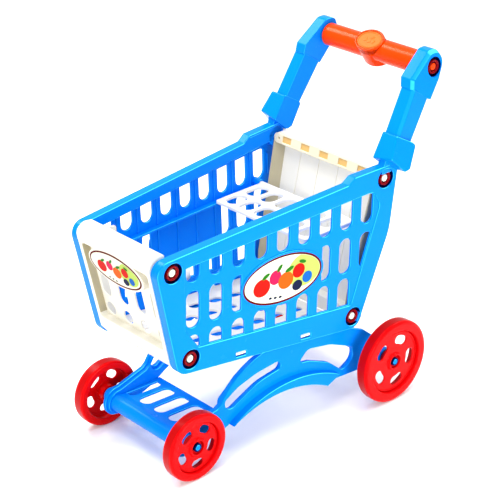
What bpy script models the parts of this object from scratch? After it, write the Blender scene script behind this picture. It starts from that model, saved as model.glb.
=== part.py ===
"""A child's toy shopping trolley: a basket of two slotted side panels bolted to a front and a rear panel, on an
arched chassis with two small and two large wheels, pushed by a round handle bar.

Metres, +Z up. The ground is z = 0, the nose points to -Y, the handle is at +Y, and the trolley is symmetric
about x = 0. The left side is +X.
"""

import math

import bmesh
import bpy

# Basket side panels: the outer face is a plane that spreads to the rear and leans out towards the top.
PANEL_X = 0.0834
PANEL_SPLAY = 0.0686
PANEL_LEAN = 0.0296
PANEL_MIDDLE_Z = 0.2
PANEL_DEPTH = 0.0117
SHEET = 0.003
FIELD_STEP = 0.0012
GAP = 0.0004

# Slots in the side panels.
SLOT_PITCH = 0.02985
SLOT_MIDDLE_Y = -0.0346
SLOT_WIDTH = 0.0172
SLOT_COLUMNS = range(-4, 5)

# Ring nuts hold the panels on pegs, at these (y, z) places on each side panel.
NUT_PLACES = {
    "front_top": (-0.1795, 0.2488),
    "front_low": (-0.1573, 0.1408),
    "rear_low": (0.0708, 0.1134),
    "rear_top": (0.1094, 0.2741),
}
HANDLE_Y = 0.1846
HANDLE_Z = 0.3842
NUT_RADIUS = 0.0082
NUT_THICK = 0.0044
RECESS_RADIUS = 0.0113
RECESS_DEPTH = 0.0064
BOSS_RADIUS = 0.0123
PEG_RADIUS = 0.0041
PEG_HOLE = 0.0045

# Planes of the front and the rear panel: y at a height, and its slope.
FRONT_Y = -0.1986
FRONT_AT_Z = 0.245
FRONT_SLOPE = -0.208
REAR_SLOPE = 0.2402

# Floor of the basket, parallel to the bottom edge of the side panels.
BOTTOM_SLOPE = -0.115
BOTTOM_Z = 0.1061
FLOOR_RISE = 0.0059
FLOOR_THICK = 0.003
TAB_PLACES = (-0.0906, 0.0005)
TAB_LENGTH = 0.0135

# Seat flap, hinged at its rear edge.
SEAT_HINGE = (0.0790, 0.2240)
SEAT_FRONT_Y = 0.0055
SEAT_FRONT_HALF = 0.0733
SEAT_REAR_HALF = 0.0750
SEAT_THICK = 0.004
SEAT_PIN = 0.0025
SEAT_BOSS_X = 0.0758

# Rear panel, measured backwards from its plane: front face of its beam and flanges, and its sheet.
REAR_FRONT = -0.0045
REAR_SHEET = 0.0080
REAR_BACK = 0.0105
BEAM_LOW = 0.2690
BEAM_HIGH = 0.2805
CELL_PITCH = 0.030

# Chassis.
FRAME_X = 0.07496
FRAME_SPLAY = 0.08
FRAME_THICK = 0.009
FRAME_SHEET = 0.0048
RIM_OUT = 0.008
SHELF_PITCH = 0.0247

# Wheels: axle (y, z), radius, outer face and width.
FRONT_WHEEL = {
    "y": -0.1613, "radius": 0.0394, "outer": 0.0845, "width": 0.0152, "hole": (0.0164, 0.0256), "turn": 56,
}
REAR_WHEEL = {
    "y": 0.1119, "radius": 0.0507, "outer": 0.1166, "width": 0.0158, "hole": (0.0210, 0.0318), "turn": 66,
}
HOLE_SPAN = math.radians(42)
AXLE_RADIUS = 0.0032
HUB_BORE = 0.0035

# Handle.
ARM_OUTER = 0.0909
ARM_HEAD = 0.0176
ARM_LEAN = math.radians(32)
ARM_LEAN_IN = 0.12
ARM_CHAMFER = 0.0034
SLEEVE_INNER = 0.0775
SLEEVE_OUTER = 0.0987
SLEEVE_FLARE = 0.25
BAR_RADIUS = 0.0132
BAR_HALF = 0.0710
DRUM_HALF_X = 0.0198
DRUM_HALF_Y = 0.0150
DRUM_HALF = 0.0146
DRUM_TILT = math.radians(35)

COLOURS = {
    "blue": (0.01, 0.36, 0.95),
    "red": (0.85, 0.01, 0.01),
    "cream": (0.93, 0.88, 0.74),
    "white": (0.92, 0.91, 0.88),
    "orange": (1.0, 0.14, 0.01),
    "label": (0.85, 0.80, 0.45),
    "steel": (0.55, 0.56, 0.58),
}


# ---------------------------------------------------------------- outlines

def rounded(corners, segments=4):
    """The loop through corners (u, v, radius), each rounded by an arc of its radius."""
    loop = []
    count = len(corners)
    for i, (u, v, radius) in enumerate(corners):
        before = corners[i - 1]
        after = corners[(i + 1) % count]
        if radius <= 0:
            loop.append((u, v))
            continue
        a = unit(before[0] - u, before[1] - v)
        b = unit(after[0] - u, after[1] - v)
        half = math.acos(max(-1, min(1, a[0] * b[0] + a[1] * b[1]))) / 2
        reach = radius / math.tan(half)
        middle = unit(a[0] + b[0], a[1] + b[1])
        centre = (u + middle[0] * radius / math.sin(half), v + middle[1] * radius / math.sin(half))
        start = (u + a[0] * reach, v + a[1] * reach)
        end = (u + b[0] * reach, v + b[1] * reach)
        first = math.atan2(start[1] - centre[1], start[0] - centre[0])
        turn = math.atan2(end[1] - centre[1], end[0] - centre[0]) - first
        turn = (turn + math.pi) % (2 * math.pi) - math.pi
        for k in range(segments + 1):
            angle = first + turn * k / segments
            loop.append((centre[0] + radius * math.cos(angle), centre[1] + radius * math.sin(angle)))
    return loop


def unit(u, v):
    length = math.hypot(u, v)
    return (u / length, v / length)


def rectangle(low_u, high_u, low_v, high_v):
    return [(low_u, low_v), (high_u, low_v), (high_u, high_v), (low_u, high_v)]


def circle(u, v, radius, segments=20):
    """A round loop about (u, v)."""
    step = 2 * math.pi / segments
    return [(u + radius * math.cos(k * step), v + radius * math.sin(k * step)) for k in range(segments)]


def ellipse(u, v, half_u, half_v, tilt, segments=28):
    """An oval loop about (u, v), turned by tilt."""
    loop = []
    for k in range(segments):
        angle = 2 * math.pi * k / segments
        a = half_u * math.cos(angle)
        b = half_v * math.sin(angle)
        loop.append((u + a * math.cos(tilt) - b * math.sin(tilt), v + a * math.sin(tilt) + b * math.cos(tilt)))
    return loop


def capsule(u, low, high, width, segments=5):
    """An upright slot with round ends, from v = low to v = high."""
    radius = width / 2
    loop = []
    for k in range(segments + 1):
        angle = math.pi * k / segments
        loop.append((u + radius * math.cos(angle), high - radius + radius * math.sin(angle)))
    for k in range(segments + 1):
        angle = math.pi + math.pi * k / segments
        loop.append((u + radius * math.cos(angle), low + radius + radius * math.sin(angle)))
    return loop


def arc_slot(inner, outer, middle, span, segments=6):
    """A kidney-shaped slot between two radii about (0, 0), centred on an angle and with round ends."""
    radius = (outer - inner) / 2
    mean = (outer + inner) / 2
    half = span / 2 - radius / mean
    loop = []
    for k in range(segments + 1):
        angle = middle - half + 2 * half * k / segments
        loop.append((outer * math.cos(angle), outer * math.sin(angle)))
    loop += end_cap(mean, middle + half, radius, 0)
    for k in range(segments + 1):
        angle = middle + half - 2 * half * k / segments
        loop.append((inner * math.cos(angle), inner * math.sin(angle)))
    loop += end_cap(mean, middle - half, radius, math.pi)
    return loop


def end_cap(mean, at, radius, start):
    """The inner points of the half circle that closes one end of an arc slot."""
    centre = (mean * math.cos(at), mean * math.sin(at))
    points = []
    for k in (1, 2, 3):
        angle = at + start + math.pi * k / 4
        points.append((centre[0] + radius * math.cos(angle), centre[1] + radius * math.sin(angle)))
    return points


def clipped(loop, point, normal):
    """The part of a loop on the side of the line through point that normal points away from."""
    kept = []
    for i, here in enumerate(loop):
        there = loop[(i + 1) % len(loop)]
        a = (here[0] - point[0]) * normal[0] + (here[1] - point[1]) * normal[1]
        b = (there[0] - point[0]) * normal[0] + (there[1] - point[1]) * normal[1]
        if a <= 0:
            kept.append(here)
        if a * b < 0:
            part = a / (a - b)
            kept.append((here[0] + (there[0] - here[0]) * part, here[1] + (there[1] - here[1]) * part))
    return kept


def inset(loop, distance):
    """The loop moved inwards by distance, for a loop that runs anticlockwise."""
    moved = []
    for i, here in enumerate(loop):
        before = unit(here[0] - loop[i - 1][0], here[1] - loop[i - 1][1])
        following = loop[(i + 1) % len(loop)]
        after = unit(following[0] - here[0], following[1] - here[1])
        normal = unit(-before[1] - after[1], before[0] + after[0])
        stretch = normal[0] * -before[1] + normal[1] * before[0]
        moved.append((here[0] + normal[0] * distance / stretch, here[1] + normal[1] * distance / stretch))
    return moved


def anticlockwise(loop):
    area = sum(a[0] * b[1] - b[0] * a[1] for a, b in zip(loop, loop[1:] + loop[:1]))
    return loop if area > 0 else loop[::-1]


# ---------------------------------------------------------------- solids

def as_object(name, mesh):
    thing = bpy.data.objects.new(name, mesh)
    bpy.context.scene.collection.objects.link(thing)
    return thing


def as_solid(name, bm):
    """An object of a closed bmesh, with its faces turned outwards."""
    bmesh.ops.recalc_face_normals(bm, faces=bm.faces)
    if bm.calc_volume(signed=True) < 0:
        bmesh.ops.reverse_faces(bm, faces=bm.faces)
    mesh = bpy.data.meshes.new(name)
    bm.to_mesh(mesh)
    bm.free()
    return as_object(name, mesh)


def plate(loops, low, high, place):
    """The first loop filled, less the others, thickened from low to high and moved by place(u, v, w)."""
    curve = bpy.data.curves.new("outline", "CURVE")
    curve.dimensions = "2D"
    curve.fill_mode = "BOTH"
    curve.extrude = (high - low) / 2
    for loop in loops:
        spline = curve.splines.new("POLY")
        spline.points.add(len(loop) - 1)
        for point, (u, v) in zip(spline.points, loop):
            point.co = (u, v, 0, 1)
        spline.use_cyclic_u = True
    guide = as_object("outline", curve)
    mesh = bpy.data.meshes.new_from_object(guide)
    bpy.data.objects.remove(guide)
    bm = bmesh.new()
    bm.from_mesh(mesh)
    bmesh.ops.remove_doubles(bm, verts=bm.verts, dist=2e-6)
    for vert in bm.verts:
        vert.co = place(vert.co.x, vert.co.y, vert.co.z + (low + high) / 2)
    return as_solid("plate", bm)


def loft(rings):
    """A closed solid through rings of points, each ring with as many points, capped at both ends."""
    bm = bmesh.new()
    made = [[bm.verts.new(point) for point in ring] for ring in rings]
    for one, two in zip(made, made[1:]):
        for i in range(len(one)):
            j = (i + 1) % len(one)
            bm.faces.new((one[i], one[j], two[j], two[i]))
    bm.faces.new(made[0][::-1])
    bm.faces.new(made[-1])
    return as_solid("loft", bm)


def turned(profile, place, segments=28):
    """A closed profile of (radius, along) points turned about an axis and moved by place(u, v, w)."""
    bm = bmesh.new()
    rings = []
    for k in range(segments):
        angle = 2 * math.pi * k / segments
        ring = [bm.verts.new(place(r * math.cos(angle), r * math.sin(angle), a)) for r, a in profile]
        rings.append(ring)
    for one, two in zip(rings, rings[1:] + rings[:1]):
        for i in range(len(profile)):
            j = (i + 1) % len(profile)
            bm.faces.new((one[i], one[j], two[j], two[i]))
    return as_solid("turned", bm)


def combine(base, others, operation):
    """The base with the others added to it or cut from it."""
    for other in others:
        modifier = base.modifiers.new("combine", "BOOLEAN")
        modifier.operation = operation
        modifier.solver = "EXACT"
        modifier.object = other
    bpy.context.view_layer.update()
    graph = bpy.context.evaluated_depsgraph_get()
    mesh = bpy.data.meshes.new_from_object(base.evaluated_get(graph))
    base.modifiers.clear()
    base.data = mesh
    for other in others:
        bpy.data.objects.remove(other)
    return base


def add(base, *others):
    return combine(base, others, "UNION")


def cut(base, *others):
    return combine(base, others, "DIFFERENCE")


def finish(thing, name, colour, roughness=0.35):
    """Names a solid and gives it its own material."""
    thing.name = name
    thing.data.name = name
    material = bpy.data.materials.new(name)
    material.use_nodes = True
    shader = material.node_tree.nodes["Principled BSDF"]
    shader.inputs["Base Color"].default_value = (*COLOURS[colour], 1)
    shader.inputs["Roughness"].default_value = roughness
    shader.inputs["Metallic"].default_value = 1.0 if colour == "steel" else 0.0
    thing.data.materials.clear()
    thing.data.materials.append(material)
    thing.data.shade_smooth()
    thing.data.set_sharp_from_angle(angle=math.radians(35))
    return thing


# ---------------------------------------------------------------- places

def side_x(y, z):
    """x of the outer face of the left side panel."""
    return PANEL_X + PANEL_SPLAY * y + PANEL_LEAN * (z - PANEL_MIDDLE_Z)


def on_panel(side):
    return lambda u, v, w: (side * (side_x(u, v) + w), u, v)


def on_frame(side):
    return lambda u, v, w: (side * (FRAME_X + FRAME_SPLAY * u + w), u, v)


def across(side, y, z):
    """Turned about an axis along X through (y, z): w is measured outwards from x = 0."""
    return lambda u, v, w: (side * w, y + u, z + v)


def front_y(z):
    return FRONT_Y + FRONT_SLOPE * (z - FRONT_AT_Z)


def rear_y(z):
    y, top = NUT_PLACES["rear_top"]
    return y + REAR_SLOPE * (z - top)


def bottom_z(y):
    return BOTTOM_Z + BOTTOM_SLOPE * y


def rod(side, y, z, radius, low, high, segments=20):
    """A round bar along X."""
    return plate([circle(0, 0, radius, segments)], low, high, across(side, y, z))


# ---------------------------------------------------------------- basket

def panel_outline():
    """Outer edge of a side panel, from the nose's top corner round by the bottom, as (y, z, radius)."""
    return anticlockwise(rounded([
        (-0.2022, 0.2625, 0.014),
        (-0.1738, 0.1261, 0.016),
        (0.0780, bottom_z(0.0780), 0.012),
        (0.1195, 0.2090, 0.080),
        (0.1275, 0.2895, 0.005),
        (0.0640, 0.2872, 0.004),
        (0.0545, 0.2803, 0.004),
    ]))


def field_outline():
    """Edge of the shallow sunken field that holds the slots."""
    return anticlockwise(rounded([
        (-0.1650, slot_top(-0.1650), 0.004),
        (-0.1650, 0.1780, 0.010),
        (-0.1480, slot_foot(-0.1480), 0.003),
        (0.0665, slot_foot(0.0665), 0.004),
        (0.1030, 0.2440, 0.010),
        (0.0925, slot_top(0.0925), 0.010),
    ], 3))


def slot_top(y):
    return 0.2560 + 0.054 * (y - SLOT_MIDDLE_Y)


def slot_foot(y):
    return 0.1400 - 0.107 * (y - SLOT_MIDDLE_Y)


def within(loop, frame):
    """The part of a loop inside a convex anticlockwise frame."""
    for here, there in zip(frame, frame[1:] + frame[:1]):
        loop = clipped(loop, here, (there[1] - here[1], here[0] - there[0]))
    return loop


def slot_loops():
    """Three rows of slots that follow the field's edge, with room for the label in the middle row."""
    edge = inset(field_outline(), 0.0009)
    loops = []
    for column in SLOT_COLUMNS:
        y = SLOT_MIDDLE_Y + column * SLOT_PITCH
        fall = -0.0006 * column
        rows = [(0.2285 + fall, 0.2900), (0.1748 + fall, 0.2180 + fall), (0.1100, 0.1670 + fall / 2)]
        if abs(column) < 2:
            del rows[1]
        for low, high in rows:
            loop = within(capsule(y, low, high, SLOT_WIDTH), edge)
            if abs(column) == 2 and low > 0.15 and high < 0.25:
                side = math.copysign(1, column)
                loop = clipped(loop, (SLOT_MIDDLE_Y + side * 0.0560, 0.1960), (-side, 0))
            if loop:
                loops.append(loop)
    return loops


def side_panel(side, name):
    place = on_panel(side)
    outline = panel_outline()
    field = field_outline()
    tab_slots = [rounded([
        (y - TAB_LENGTH / 2 - GAP, bottom_z(y) + FLOOR_RISE - 0.0012, 0.001),
        (y + TAB_LENGTH / 2 + GAP, bottom_z(y) + FLOOR_RISE - 0.0028, 0.001),
        (y + TAB_LENGTH / 2 + GAP, bottom_z(y) + FLOOR_RISE + 0.0030, 0.001),
        (y - TAB_LENGTH / 2 - GAP, bottom_z(y) + FLOOR_RISE + 0.0046, 0.001),
    ], 2) for y in TAB_PLACES]
    panel = plate([outline, field] + tab_slots, -SHEET, 0, place)
    sheet = plate([inset(field, -0.002)] + slot_loops(), -SHEET - FIELD_STEP, -FIELD_STEP, place)
    wall = plate([inset(outline, 0.0002), inset(outline, 0.003)], -PANEL_DEPTH, -0.001, place)
    rail = plate([rounded([
        (-0.1900, 0.2610, 0.001), (-0.1900, 0.2500, 0.001), (0.0560, 0.2672, 0.001),
        (0.1180, 0.2715, 0.001), (0.1180, 0.2860, 0.001), (0.0640, 0.2840, 0.001), (0.0520, 0.2780, 0.001),
    ], 1)], -PANEL_DEPTH + 0.0002, -0.0015, place)
    ledge = plate([rectangle(-0.1550, 0.0745, 0.2192, 0.2216)], -0.0115, -0.0030, place)
    parts = [sheet, wall, rail, ledge]
    for y, z in NUT_PLACES.values():
        parts.append(plate([circle(y, z, BOSS_RADIUS, 24)], -PANEL_DEPTH + 0.0001, -0.0005, place))
    hinge_y, hinge_z = SEAT_HINGE
    boss_depth = side_x(hinge_y, hinge_z) - SEAT_BOSS_X
    parts.append(plate([circle(hinge_y, hinge_z, 0.0050, 16)], -boss_depth, -0.0020, place))
    parts.append(tongue(side))
    panel = add(panel, *parts)
    cuts = []
    for y, z in NUT_PLACES.values():
        cuts.append(plate([circle(y, z, RECESS_RADIUS, 24)], -RECESS_DEPTH, 0.01, place))
        cuts.append(plate([circle(y, z, PEG_HOLE, 16)], -0.02, -0.004, place))
    cuts.append(rod(side, hinge_y, hinge_z, SEAT_PIN + GAP, 0.0700, 0.0860, 12))
    return finish(cut(panel, *cuts), name, "blue")


def tongue(side):
    """The upright stub at the rear top corner that the handle arm's sleeve slides over."""
    rings = []
    for y, z, half_y in ((0.1130, 0.2800, 0.0100), (0.1190, 0.3020, 0.0092)):
        x = side_x(y, z) - PANEL_DEPTH / 2
        loop = rectangle(x - 0.0050, x + 0.0050, y - half_y, y + half_y)
        rings.append([(side * u, v, z) for u, v in loop])
    return loft(rings)


def panel_pegs(names, reach):
    """Pegs that stick out from a cross panel through both side panels at the named places."""
    pegs = []
    for name in names:
        y, z = NUT_PLACES[name]
        x = side_x(y, z)
        for side in (1, -1):
            pegs.append(rod(side, y, z, PEG_RADIUS, x - PANEL_DEPTH - reach, x - 0.0018, 16))
    return pegs


def inner_x(y, z):
    """x of the inner edge of the side panel's rim."""
    return side_x(y, z) - PANEL_DEPTH - GAP


def front_panel():
    """The cream nose panel: a rolled top, a sunken field with slots and two side flanges."""
    def place(u, v, w):
        return (u, front_y(v) + w, v)

    def edge(z):
        return inner_x(front_y(z), z)

    top, low = 0.2500, 0.1375
    frame = rounded([
        (-edge(low), low, 0.002), (edge(low), low, 0.002), (edge(top), top, 0.002), (-edge(top), top, 0.002),
    ], 2)
    window = rounded([
        (-0.0530, 0.1525, 0.004), (0.0530, 0.1525, 0.004), (0.0545, 0.2470, 0.004), (-0.0545, 0.2470, 0.004),
    ], 3)
    slots = []
    for column in (-1.5, -0.5, 0.5, 1.5):
        for low, high in ((0.1545, 0.1705), (0.1790, 0.2168)):
            slots.append(within(capsule(column * 0.029, low, high, 0.0150), inset(window, 0.0005)))
    panel = plate([frame, window], -0.0005, 0.0125, place)
    field = plate([inset(anticlockwise(window), -0.002)] + slots, 0.0095, 0.0120, place)
    backing = plate([ellipse(0, 0.2325, 0.0450, 0.0205, 0)], -0.0010, 0.0110, place)
    parts = [field, backing, front_roll(edge(0.255)), front_foot()]
    for side in (1, -1):
        wing = rounded([
            (front_y(0.252) + 0.003, 0.252, 0.001), (front_y(0.139) + 0.003, 0.139, 0.001),
            (-0.1450, 0.1390, 0.004), (-0.1640, 0.2200, 0.004), (-0.1480, 0.2300, 0.003),
            (-0.1480, 0.2480, 0.003), (-0.1800, 0.2520, 0.001),
        ], 2)
        parts.append(plate([wing], -PANEL_DEPTH - GAP - 0.0028, -PANEL_DEPTH - GAP, on_panel(side)))
    parts += panel_pegs(("front_top", "front_low"), 0.0020)
    return finish(add(panel, *parts), "front_panel", "cream", 0.4)


def front_roll(half):
    """The rounded top edge of the nose, one section swept from side to side."""
    section = rounded([
        (front_y(0.2485) - 0.0004, 0.2485, 0), (front_y(0.2485) + 0.0065, 0.2485, 0),
        (-0.1885, 0.2605, 0.003), (-0.1800, 0.2620, 0.0005), (-0.1800, 0.2655, 0.0015),
        (-0.1920, 0.2668, 0.010), (-0.2020, 0.2600, 0.009),
    ], 4)
    return loft([[(x, y, z) for y, z in section] for x in (-half, half)])


def front_foot():
    """The sloping foot under the field, which the floor rests behind."""
    section = [
        (front_y(0.1520) + 0.0005, 0.1520), (front_y(0.1385) - 0.0003, 0.1380),
        (-0.1690, 0.1285), (-0.1640, 0.1285), (-0.1640, 0.1378),
        (front_y(0.1385) + 0.006, 0.1400), (front_y(0.1520) + 0.0055, 0.1520),
    ]
    return loft([[(side * inner_x(y, z), y, z) for y, z in section] for side in (-1, 1)])


def rear_panel():
    """The cream rear panel: a slatted sheet between two deep side flanges, under a beam with a row of cells."""
    def place(u, v, w):
        return (u, rear_y(v) + w, v)

    def edge(z):
        return inner_x(rear_y(z), z)

    low, foot = 0.1060, 0.1210
    outline = [(-edge(low), low), (edge(low), low), (edge(BEAM_HIGH), BEAM_HIGH), (-edge(BEAM_HIGH), BEAM_HIGH)]
    grooves = []
    for column in (-1.5, -0.5, 0.5, 1.5):
        x = column * CELL_PITCH
        groove = [(x - 0.0006, 0.1230), (x + 0.0006, 0.1230), (x + 0.0006, 0.2680), (x - 0.0006, 0.2680)]
        grooves.append(plate([groove], REAR_SHEET - 0.0010, REAR_SHEET + 0.0008, place))
    panel = cut(plate([outline], REAR_SHEET, REAR_BACK, place), *grooves)
    half = edge(0.275) - 0.0004
    beam = rounded([(u, v, 0.0055) for u, v in rectangle(-half, half, BEAM_LOW, BEAM_HIGH)])
    base = [
        (-edge(low) + 0.0002, low + 0.0002), (edge(low) - 0.0002, low + 0.0002),
        (edge(foot) - 0.0002, foot), (-edge(foot) + 0.0002, foot),
    ]
    parts = [
        plate([beam], REAR_FRONT, REAR_BACK - 0.0002, place),
        plate([base], -0.0030, REAR_BACK - 0.0002, place),
    ]
    for side in (1, -1):
        rings = []
        for z in (0.1120, 0.1400, 0.2730):
            front = REAR_FRONT if z > 0.13 else -0.0005
            x = edge(z) - 0.0003
            back = REAR_BACK - 0.0004
            corners = [(x - 0.0018, front), (x, front), (x, back), (x - 0.0095, back)]
            rings.append([place(side * u, z, w) for u, w in corners])
        parts.append(loft(rings))
    panel = add(panel, *parts, *panel_pegs(("rear_low", "rear_top"), 0.0040))
    cells = []
    for column in (-2, -1, 0, 1, 2):
        x = column * CELL_PITCH
        cell = rectangle(x - 0.0068, x + 0.0068, 0.2712, 0.2786)
        cells.append(plate([cell], -0.0200, REAR_FRONT + 0.0020, place))
    return finish(cut(panel, *cells), "rear_panel", "cream", 0.4)


def floor_panel():
    """The basket floor, with rows of long holes and tabs that show through the side panels."""
    def place(u, v, w):
        return (u, v, bottom_z(v) + FLOOR_RISE + w)

    def edge(y):
        return side_x(y, bottom_z(y)) - SHEET - 0.0008

    front, rear = -0.1625, 0.0640
    outline = [(-edge(front) + 0.0145, front), (edge(front) - 0.0145, front)]
    outline += [(edge(-0.1400) - 0.0145, -0.1400), (edge(-0.1380), -0.1380)]
    for y in TAB_PLACES:
        tab = side_x(y, bottom_z(y)) - 0.0006
        outline += [(edge(y - TAB_LENGTH / 2), y - TAB_LENGTH / 2), (tab, y - TAB_LENGTH / 2),
                    (tab, y + TAB_LENGTH / 2), (edge(y + TAB_LENGTH / 2), y + TAB_LENGTH / 2)]
    outline += [(edge(0.0490), 0.0490), (edge(0.0490) - 0.0145, 0.0510), (edge(rear) - 0.0145, rear)]
    mirror = [(-x, y) for x, y in outline[:1:-1]]
    holes = []
    for row in range(7):
        y = -0.1360 + row * 0.0290
        for column in (-2, -1, 0, 1, 2):
            holes.append(capsule(column * 0.0235, y - 0.0100, y + 0.0100, 0.0120, 3))
    return finish(plate([outline + mirror] + holes, 0, FLOOR_THICK, place), "floor_panel", "cream", 0.4)


def seat_flap():
    """The folding grid seat, which lies on the side ledges and turns on two pins at its rear edge."""
    hinge_y, hinge_z = SEAT_HINGE

    def place(u, v, w):
        return (u, v, hinge_z + w)

    outline = rounded([
        (-SEAT_FRONT_HALF, SEAT_FRONT_Y, 0.003), (SEAT_FRONT_HALF, SEAT_FRONT_Y, 0.003),
        (SEAT_REAR_HALF, hinge_y, 0), (-SEAT_REAR_HALF, hinge_y, 0),
    ], 3)
    holes = []
    for column in range(6):
        x = (column - 2.5) * 0.0235
        holes.append(capsule(x, SEAT_FRONT_Y + 0.0055, 0.0385, 0.0190, 4))
        holes.append(capsule(x, 0.0435, hinge_y - 0.0065, 0.0190, 4))
    flap = plate([outline] + holes, -SEAT_THICK / 2, SEAT_THICK / 2, place)
    barrel = rod(1, hinge_y, hinge_z, 0.0032, -SEAT_REAR_HALF, SEAT_REAR_HALF, 16)
    pins = rod(1, hinge_y, hinge_z, SEAT_PIN, -0.0850, 0.0850, 12)
    return finish(add(flap, barrel, pins), "seat_flap", "white", 0.35)


# ---------------------------------------------------------------- chassis

def arc_points(y, z, radius, start, end, segments):
    """Points on a circle about (y, z), from one angle to another in degrees."""
    points = []
    for k in range(segments + 1):
        angle = math.radians(start + (end - start) * k / segments)
        points.append((y + radius * math.cos(angle), z + radius * math.sin(angle)))
    return points


def frame_outline():
    """Edge of a chassis side frame: a nose round the front axle, the arch, and the rear leg round its axle."""
    nose = arc_points(-0.1605, 0.0355, 0.0170, 80, 262, 9)
    low = arc_points(-0.0330, 0.0544 - 0.1350, 0.1350, 122, 61, 12)
    leg = arc_points(REAR_WHEEL["y"], REAR_WHEEL["radius"], 0.0152, 258, 415, 8)
    upper = [(0.0920, 0.0875), (0.0740, 0.0955), (0.0640, bottom_z(0.0640) - GAP)]
    crown = [(-0.0400, bottom_z(-0.0400) - GAP), (-0.0560, 0.1085), (-0.0680, 0.1040), (-0.0790, 0.0980),
             (-0.0905, 0.0905), (-0.1015, 0.0798), (-0.1080, 0.0708), (-0.1130, 0.0640), (-0.1185, 0.0602)]
    return nose + low + leg + upper + crown


def long_window():
    return rounded([(-0.1060, 0.0500, 0.008), (-0.0840, 0.0620, 0.030), (-0.0600, 0.0745, 0.060),
                    (-0.0270, 0.0810, 0.0045), (-0.0330, 0.0905, 0.0045), (-0.0640, 0.0860, 0.060),
                    (-0.0900, 0.0775, 0.040), (-0.1075, 0.0660, 0.006)], 3)


def rear_window():
    return rounded([(-0.0040, 0.0770, 0.003), (0.0110, 0.0750, 0.012), (0.0400, 0.0630, 0.030),
                    (0.0610, 0.0450, 0.006), (0.0780, 0.0550, 0.012), (0.0740, 0.0715, 0.010),
                    (0.0420, 0.0850, 0.040), (0.0090, 0.0905, 0.010)], 3)


def grown(window):
    """A window made 3 mm larger all round."""
    return inset(anticlockwise(window), -0.003)


def chassis_frame(side, name):
    place = on_frame(side)
    frame = plate([frame_outline(), long_window(), rear_window()], -FRAME_THICK, 0, place)
    rim = arc_points(-0.0330, 0.0544 - 0.1350, 0.1350, 120.5, 61, 12)
    rim += arc_points(-0.0180, 0.0643 - 0.1420, 0.1420, 61, 126, 12)
    rim = plate([rim], -0.0050, RIM_OUT, place)
    front = FRONT_WHEEL["outer"] - FRONT_WHEEL["width"] - GAP
    rear = REAR_WHEEL["outer"] - REAR_WHEEL["width"] - GAP
    bosses = [
        rod(side, FRONT_WHEEL["y"], FRONT_WHEEL["radius"], 0.0085, 0.0580, front),
        rod(side, REAR_WHEEL["y"], REAR_WHEEL["radius"], 0.0110, 0.0790, rear),
    ]
    frame = add(frame, rim, *bosses)
    bores = [
        rod(side, FRONT_WHEEL["y"], FRONT_WHEEL["radius"], HUB_BORE, 0.0400, 0.1200, 16),
        rod(side, REAR_WHEEL["y"], REAR_WHEEL["radius"], HUB_BORE, 0.0400, 0.1200, 16),
    ]
    pockets = [
        plate([grown(window)], -FRAME_THICK - 0.001, -FRAME_SHEET - 0.0004, place)
        for window in (long_window(), rear_window())
    ]
    return finish(cut(frame, *bores, *pockets), name, "blue")


def frame_inner(y):
    """x of the inner face of the left chassis frame, less a gap."""
    return FRAME_X + FRAME_SPLAY * y - FRAME_THICK - GAP


def front_shelf():
    """The slotted shelf between the front wheels, rolled over the front axle."""
    nose = arc_points(-0.1635, 0.0367, 0.0095, 75, 260, 8)
    section = nose + [
        (-0.1560, 0.0290), (-0.1530, 0.0415), (-0.1010, 0.0386),
        (-0.0975, 0.0330), (-0.0975, 0.0410), (-0.1490, 0.0438),
    ]
    shelf = loft([[(side * frame_inner(y), y, z) for y, z in section] for side in (-1, 1)])
    cuts = [rod(1, FRONT_WHEEL["y"], FRONT_WHEEL["radius"], HUB_BORE, -0.0700, 0.0700, 16)]
    half = frame_inner(-0.1560) - 0.0020
    deck = [(-half, -0.1560), (half, -0.1560), (half, -0.1000), (-half, -0.1000)]
    for column in (-2, -1, 0, 1, 2):
        slot = within(capsule(column * SHELF_PITCH, -0.1510, -0.1055, 0.0162), deck)
        cuts.append(plate([slot], 0.0200, 0.0700, lambda u, v, w: (u, v, w)))
    return finish(cut(shelf, *cuts), "front_shelf", "blue")


def crossbar(y, name):
    """A bar between the chassis frames that carries the basket floor."""
    rise = FLOOR_RISE - GAP
    front, back, low = y - 0.007, y + 0.007, bottom_z(y) + rise - 0.012
    section = [
        (front, bottom_z(front) + rise), (back, bottom_z(back) + rise),
        (y + 0.005, low), (y - 0.005, low),
    ]
    half = frame_inner(front)
    bar = loft([[(x, v, z) for v, z in section] for x in (-half, half)])
    return finish(bar, name, "blue")


def axle(wheel, name):
    half = wheel["outer"] - 0.0048
    return finish(rod(1, wheel["y"], wheel["radius"], AXLE_RADIUS, -half, half, 16), name, "steel", 0.3)


def rear_axle_tube():
    """The sleeve round the rear axle between the rear legs."""
    y, z = REAR_WHEEL["y"], REAR_WHEEL["radius"]
    half = frame_inner(y - 0.0090)
    tube = rod(1, y, z, 0.0090, -half, half)
    return finish(cut(tube, rod(1, y, z, HUB_BORE, -0.1, 0.1, 16)), "rear_axle_tube", "blue")


def wheel_profile(wheel):
    """Half section of a wheel as (radius, inwards from the outer face): sunken hub, web and rounded rim."""
    r, w = wheel["radius"], wheel["width"]
    return [
        (HUB_BORE, 0.0048), (0.0078, 0.0048), (0.0094, 0.0034), (r * 0.745, 0.0034), (r * 0.78, 0.0004),
        (r * 0.86, 0.0), (r * 0.975, 0.0006), (r, 0.0024),
        (r, w - 0.0024), (r * 0.975, w - 0.0006), (r * 0.86, w),
        (r * 0.77, w - 0.0010), (r * 0.74, 0.0062), (0.0112, 0.0062), (0.0100, w), (HUB_BORE, w),
    ]


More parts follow.
